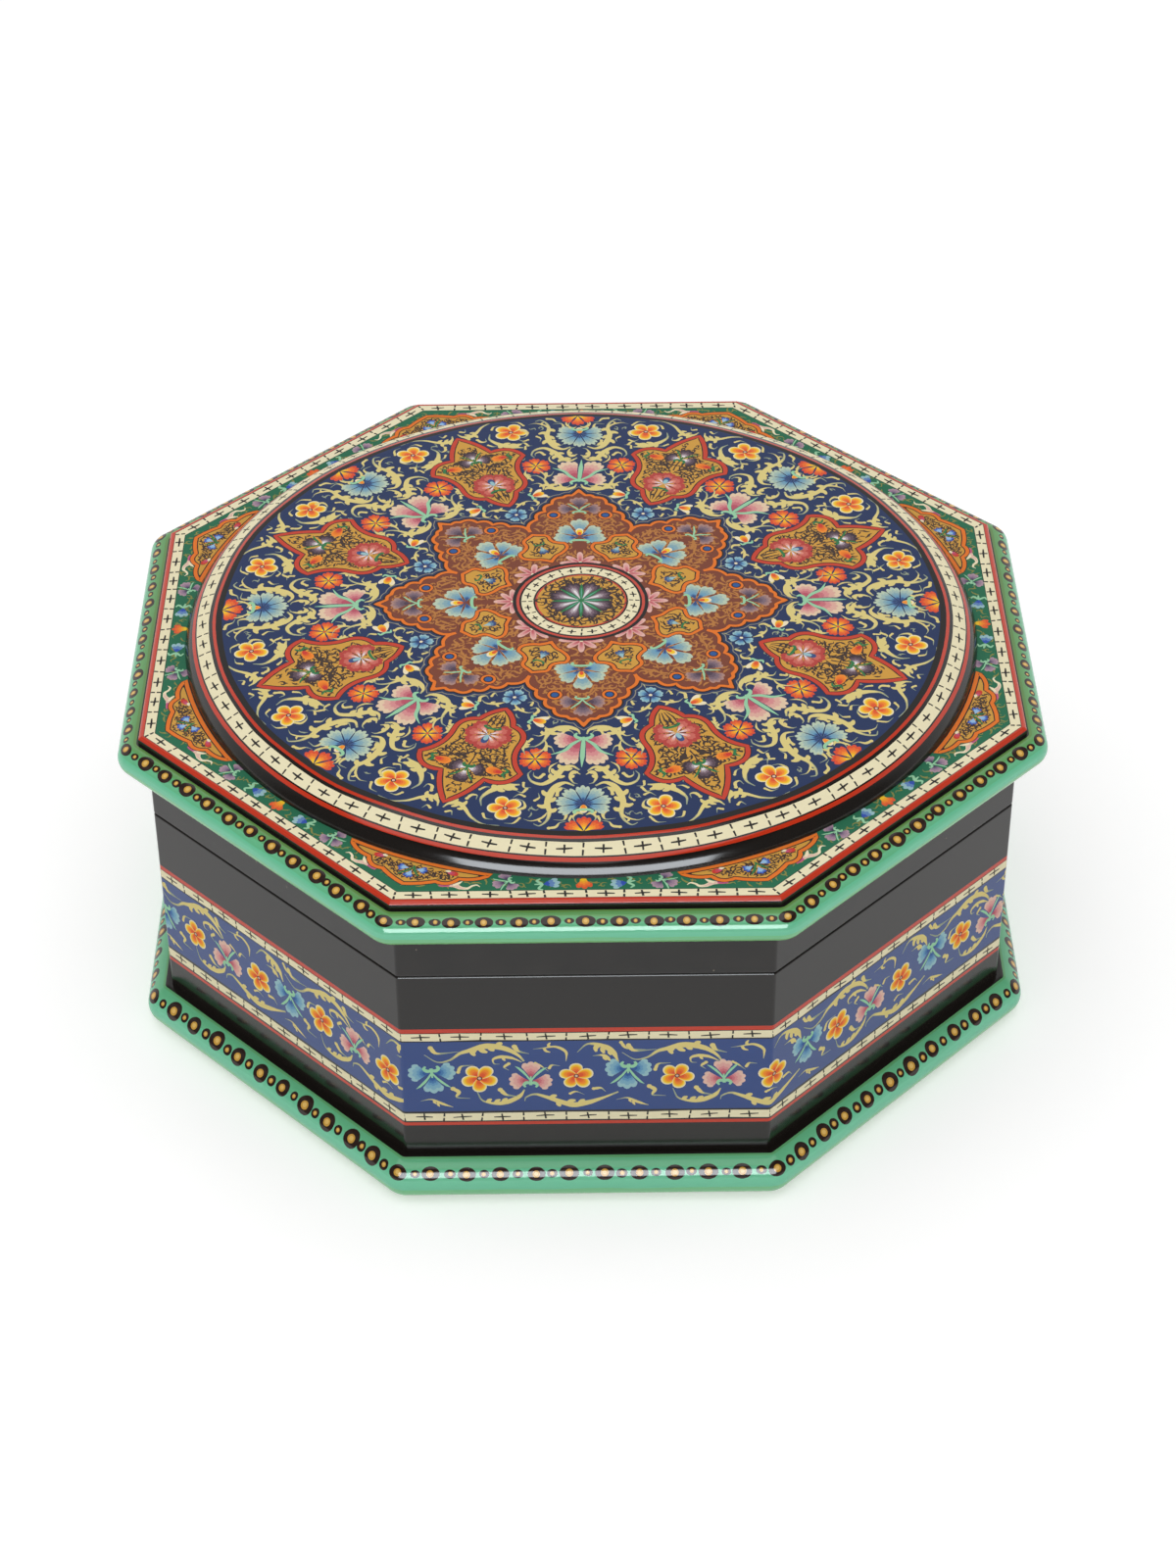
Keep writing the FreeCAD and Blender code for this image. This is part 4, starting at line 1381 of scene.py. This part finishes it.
PALMETTE_PLACES = outwards((0, 53.0), (4.7, 59.2), (9.5, 65.6), (14.4, 77.0), (6.2, 82.7), (0, 94.2))
PALMETTE = both_halves(lobed(PALMETTE_PLACES, (0.7, 1.6, -1.7, 2.4, 0.8)))
PALMETTE_VEINS = (
    (((8.7, 66), (8.4, 70), (6.6, 72.8), (3.4, 73.8)), 1.0,
     ((0.3, 1.8, 110), (0.5, 1.8, 120), (0.42, 1.5, -110))),
    (((0.4, 71.6), (2.2, 74.2), (4.6, 75.8), (7.4, 75.0), (9.8, 75.2)), 0.9,
     ((0.4, 1.6, -100), (0.6, 1.6, 110))),
    (((11.2, 75.4), (12.9, 77.2), (11.6, 80.0), (9.0, 81.2)), 0.9, ((0.4, 1.5, -110), (0.6, 1.5, -110))),
    (((5.2, 84.6), (4.2, 87.6), (2.0, 89.8), (0.6, 92)), 0.8, ((0.3, 1.5, -110), (0.5, 1.4, 110))),
    (((5.8, 79.6), (4.9, 81.4), (3.0, 81.8)), 0.7, ((0.4, 1.3, 110),)),
)


def palmette(rng):
    """The ochre palmette between two star points, with its own flowers."""
    shapes = cartouche(PALMETTE, PALMETTE_RED, 1.3, OCHRE)
    shapes += filled_with_curls(SCROLL_BROWN, inset(PALMETTE, 1.3), 1.55, 0.66, rng, 0.72)
    tones = ((ORANGE, 1.0, 1.0), (OUTLINE_ORANGE, 0.7, 0.7), (BLOSSOM_RED, 0.4, 0.42))
    blossom = toned(round_petal(4.6, 3.6), tones)
    for side in (-1, 1):
        for places, width, lobes in PALMETTE_VEINS:
            leaf = scroll(outwards(*places), width, lobes, SCROLL_BROWN, SCROLL_BROWN)
            shapes += placed(inside(inset(PALMETTE, 1.0), leaf), mirrored=side < 0)
        for across in (0.7, 1.9):
            vein = curve(outwards((side * across * 0.5, 55.6), (side * across, 58.4), (side * across, 61)))
            shapes.append((SCROLL_BROWN, brushed(vein, (0.2, 0.5, 0.3))))
        shapes += placed(blossom, side * 9.6 - 78.4j, side * 90 + rng.uniform(-14, 14))
        green = outwards((side * 9.6, 76.6), (side * 10.8, 77.4), (side * 10.0, 79), (side * 11.2, 80.2))
        shapes.append((LEAF_GREEN, brushed(curve(green), (0.4, 0.8, 0.8, 0.4))))
    tones = ((FLOWER_RED, 1.0, 1.0), (FLOWER_PINK, 0.6, 0.3), (PEARL, 0.34, 0.14))
    flower = ring_of(toned(scalloped_petal(7.4, 47, 3, 0.08), tones), 7, 48, 308)
    shapes += placed(flower, -64.9j, rng.uniform(-3, 3), 0.9)
    shapes += placed(drop(((THROAT_BLUE, 1.0), (PALE_BLUE, 0.66)), 3.8, 2.4), -63.8j)
    shapes.append(crescent(LEAF_GREEN, -62.2j, 2.2, 0.8, 0.8))
    stem = outwards((0, 73), (0.2, 75.5), (0, 78.6))
    shapes.append((SCROLL_BROWN, brushed(stem, (0.5, 0.35, 0.5))))
    return shapes + placed(three_petalled(PURPLE, PLUM, PEARL, LEAF_GREEN), -80.8j, rng.uniform(-4, 4), 0.78)


def above_palmette(rng):
    """The blue ground round a palmette: small flower, buds and scrolls."""
    shapes = scrolls_beside(PALMETTE_SCROLLS, PALMETTE_COMMAS, rng)
    shapes += scroll(outwards((0, 40.2), (0.3, 42), (0, 44.4)), 0.8)
    tones = ((PALE_BLUE, 1.0, 1.0), (MID_BLUE, 0.68, 0.56), (THROAT_BLUE, 0.42, 0.34))
    shapes += placed(ring_of(toned(scalloped_petal(3.5, 62, 3, 0.1), tones), 5, rng.uniform(0, 72)), -47.5j)
    shapes.append(disc(EGG_WHITE, -47.5j, 0.5, 8))
    wing = [(EGG_WHITE, round_petal(4.4, 2.0))]
    tones = ((YELLOW, 1.0, 1.0), (ORANGE, 0.74, 0.72), (ORANGE_RED, 0.46, 0.5))
    bud = placed(wing, turn=-62) + placed(wing, turn=-118)
    bud += placed(toned(round_petal(3.7, 2.7), tones), turn=-90)
    calyx = curve(spots((0.4, 1.9), (-0.6, 1.4), (-0.2, 0), (-0.6, -1.4), (0.4, -1.9)))
    bud.append((MINT, brushed(calyx, (0.3, 0.75, 0.75, 0.75, 0.3))))
    for side in (-1, 1):
        shapes += placed(bud, side * 8.3 - 54.8j, side * rng.uniform(-10, 10), mirrored=side < 0)
    return shapes


# The ring of crosses in the border, and the lines round the star as (paint, how far inside its edge)
DOME_CROSSES = 104.8
DOME_CELLS = 68
STAR_OUTLINES = (
    (BEIGE_LINE, -1.95), (GROUND_BLUE, -1.65), (INK, -1.0), (OUTLINE_ORANGE, -0.5),
    (INK, 0.5), (MAROON, 0.62),
)


def dome_painting():
    """The whole painting, in the order in which it is laid on."""
    rng = random.Random(5)
    shapes = [band(RED_LINE, 107.0, 107.9), band(CREAM, 103.0, 106.6), band(RED_LINE, 101.1, 102.0)]
    shapes.append((GROUND_BLUE, 99.5 * ROUND))
    pitch = 2 * math.pi * DOME_CROSSES / DOME_CELLS
    shapes += bent(crossed_cells(DOME_CELLS, pitch, 3.4, rng, brush=0.56, tall=0.32), DOME_CROSSES)
    on_point = [SIDE_TURN * index for index in range(8)]
    between = [SIDE_TURN * (index + 0.5) for index in range(8)]
    for point, gap in zip(on_point, between):
        shapes += placed(below_star_point(rng), turn=point)
        shapes += placed(above_palmette(rng), turn=gap)
    shapes += curls_in_gaps(LEAF_FADED, 97.5 * ROUND, 2.6, 0.5, 1.5, shapes, rng)
    shapes.append(band(INK, 99.4, 101.1))
    for gap in between:
        shapes += placed(palmette(rng), turn=gap)
    shapes += [(colour, inset(STAR, distance)) for colour, distance in STAR_OUTLINES]
    for point in on_point:
        shapes += placed(star_point(rng), turn=point)
    for point, gap in zip(on_point, between):
        shapes += placed(shield(rng), turn=gap)
        shapes += placed(half_lotus(rng), turn=point)
    return shapes + roundel(rng)


def dome_wobble(corners):
    """The slow drift of a hand that has no ruler, gone at the edge of the dome."""
    fade = np.clip((EDGE_RADIUS - np.abs(corners)) / 4, 0, 1) * 0.22
    along, across = corners.real, corners.imag
    right = np.sin(along / 7.3 + across / 11 + 1) + 0.7 * np.sin(across / 5.1 - along / 9)
    up = np.sin(across / 8.1 - along / 10 + 2) + 0.7 * np.sin(along / 4.7 + across / 13)
    return corners + fade * (right + 1j * up) * 0.6


ring_radii = np.concatenate([np.linspace(6, 96, 16), border_arc.real[::2], edge_arc.real[1:-1]])
dome_creases = [radius * np.append(ROUND, ROUND[0]) for radius in ring_radii]
layout = cut_out(dome_painting(), DOME_RADIUS * ROUND, dome_creases, BLACK, dome_wobble)
painted_piece("lid_dome_panel", layout, dome_surface, base_only, "lid")

# Studio
# White table and white surround, soft light from overhead and from all round, and a camera in front and
# above at the photograph's angle.
world = bpy.data.worlds.new("white studio")
bpy.context.scene.world = world
world.use_nodes = True
tree = world.node_tree
sky = tree.nodes["Background"]
sky.inputs["Color"].default_value = (1, 1, 1, 1)
rays = tree.nodes.new("ShaderNodeLightPath")
direction = tree.nodes.new("ShaderNodeTexCoord").outputs["Generated"]
split = tree.nodes.new("ShaderNodeSeparateXYZ")
tree.links.new(direction, split.inputs["Vector"])
# Bright low down and dim overhead, so that the colours under the varnish stay deep
level = tree.nodes.new("ShaderNodeMapRange")
for socket, value in (("From Min", 0.6), ("From Max", 0.74), ("To Min", 0.95), ("To Max", 0.16)):
    level.inputs[socket].default_value = value
tree.links.new(split.outputs["Z"], level.inputs["Value"])
# What the varnish mirrors is dim in front, where the camera stands, and bright behind the box
behind = tree.nodes.new("ShaderNodeMapRange")
for socket, value in (("From Min", -0.1), ("From Max", 0.45), ("To Min", 0.12), ("To Max", 1.0)):
    behind.inputs[socket].default_value = value
tree.links.new(split.outputs["Y"], behind.inputs["Value"])
soft = calculated(tree, "SUBTRACT", 1.0, rays.outputs["Is Glossy Ray"])
dimmed = calculated(tree, "MAXIMUM", soft, behind.outputs["Result"])
seen = calculated(tree, "MULTIPLY", level.outputs["Result"], dimmed)
strength = calculated(tree, "MAXIMUM", seen, rays.outputs["Is Camera Ray"])
tree.links.new(strength, sky.inputs["Strength"])

floor_mesh = bpy.data.meshes.new("table_top")
floor_mesh.from_pydata([(-4, -4, 0), (4, -4, 0), (4, 4, 0), (-4, 4, 0)], [], [(0, 1, 2, 3)])
floor = bpy.data.objects.new("table_top", floor_mesh)
bpy.context.scene.collection.objects.link(floor)
white = bpy.data.materials.new("white table")
white.use_nodes = True
tree = white.node_tree
shader = tree.nodes["Principled BSDF"]
shader.inputs["Base Color"].default_value = (0.8, 0.8, 0.8, 1)
shader.inputs["Roughness"].default_value = 0.9
shader.inputs["Specular IOR Level"].default_value = 0.1
shader.inputs["Emission Color"].default_value = (1, 1, 1, 1)
rays = tree.nodes.new("ShaderNodeLightPath")
mirrored = calculated(tree, "MULTIPLY", rays.outputs["Is Glossy Ray"], 0.3)
glow = calculated(tree, "MULTIPLY_ADD", rays.outputs["Is Camera Ray"], 0.4, mirrored)
tree.links.new(glow, shader.inputs["Emission Strength"])
floor_mesh.materials.append(white)


def softbox(name, place, width, height, energy):
    """A lamp behind a square of white cloth that faces the box; the camera doesn't see it."""
    lamp = bpy.data.lights.new(name, "AREA")
    lamp.shape = "RECTANGLE"
    lamp.size = width
    lamp.size_y = height
    lamp.energy = energy
    holder = bpy.data.objects.new(name, lamp)
    holder.location = place
    holder.rotation_euler = (Vector((0, 0, 0.06)) - holder.location).to_track_quat("-Z", "Y").to_euler()
    holder.visible_camera = False
    bpy.context.scene.collection.objects.link(holder)
    return holder


softbox("overhead softbox", (-0.1, -0.15, 1.4), width=1.5, height=1.5, energy=10)
# The low one in front makes the streaks on the varnish and adds no other light
streak = softbox("front softbox", (0, -1.25, 0.5), width=1.6, height=0.58, energy=34)
streak.visible_diffuse = False
streak.data.color = (0.9, 0.95, 1.0)

CAMERA_AIM = 0.0593
CAMERA_DISTANCE = 0.951
CAMERA_AZIMUTH = math.radians(-0.27)
CAMERA_ELEVATION = math.radians(37.51)
CAMERA_ROLL = math.radians(-0.45)
lens = bpy.data.cameras.new("camera")
lens.sensor_fit = "VERTICAL"
lens.sensor_height = 36
lens.lens = 76.1
lens.shift_x = 0.0038
lens.shift_y = -0.0246
camera = bpy.data.objects.new("camera", lens)
flat_reach = CAMERA_DISTANCE * math.cos(CAMERA_ELEVATION)
camera.location = (
    flat_reach * math.sin(CAMERA_AZIMUTH), -flat_reach * math.cos(CAMERA_AZIMUTH),
    CAMERA_AIM + CAMERA_DISTANCE * math.sin(CAMERA_ELEVATION),
)
camera.rotation_mode = "QUATERNION"
looking = Vector((0, 0, CAMERA_AIM)) - camera.location
camera.rotation_quaternion = looking.to_track_quat("-Z", "Y") @ Quaternion((0, 0, 1), CAMERA_ROLL)
bpy.context.scene.collection.objects.link(camera)
bpy.context.scene.camera = camera
bpy.context.scene.view_settings.view_transform = "Standard"
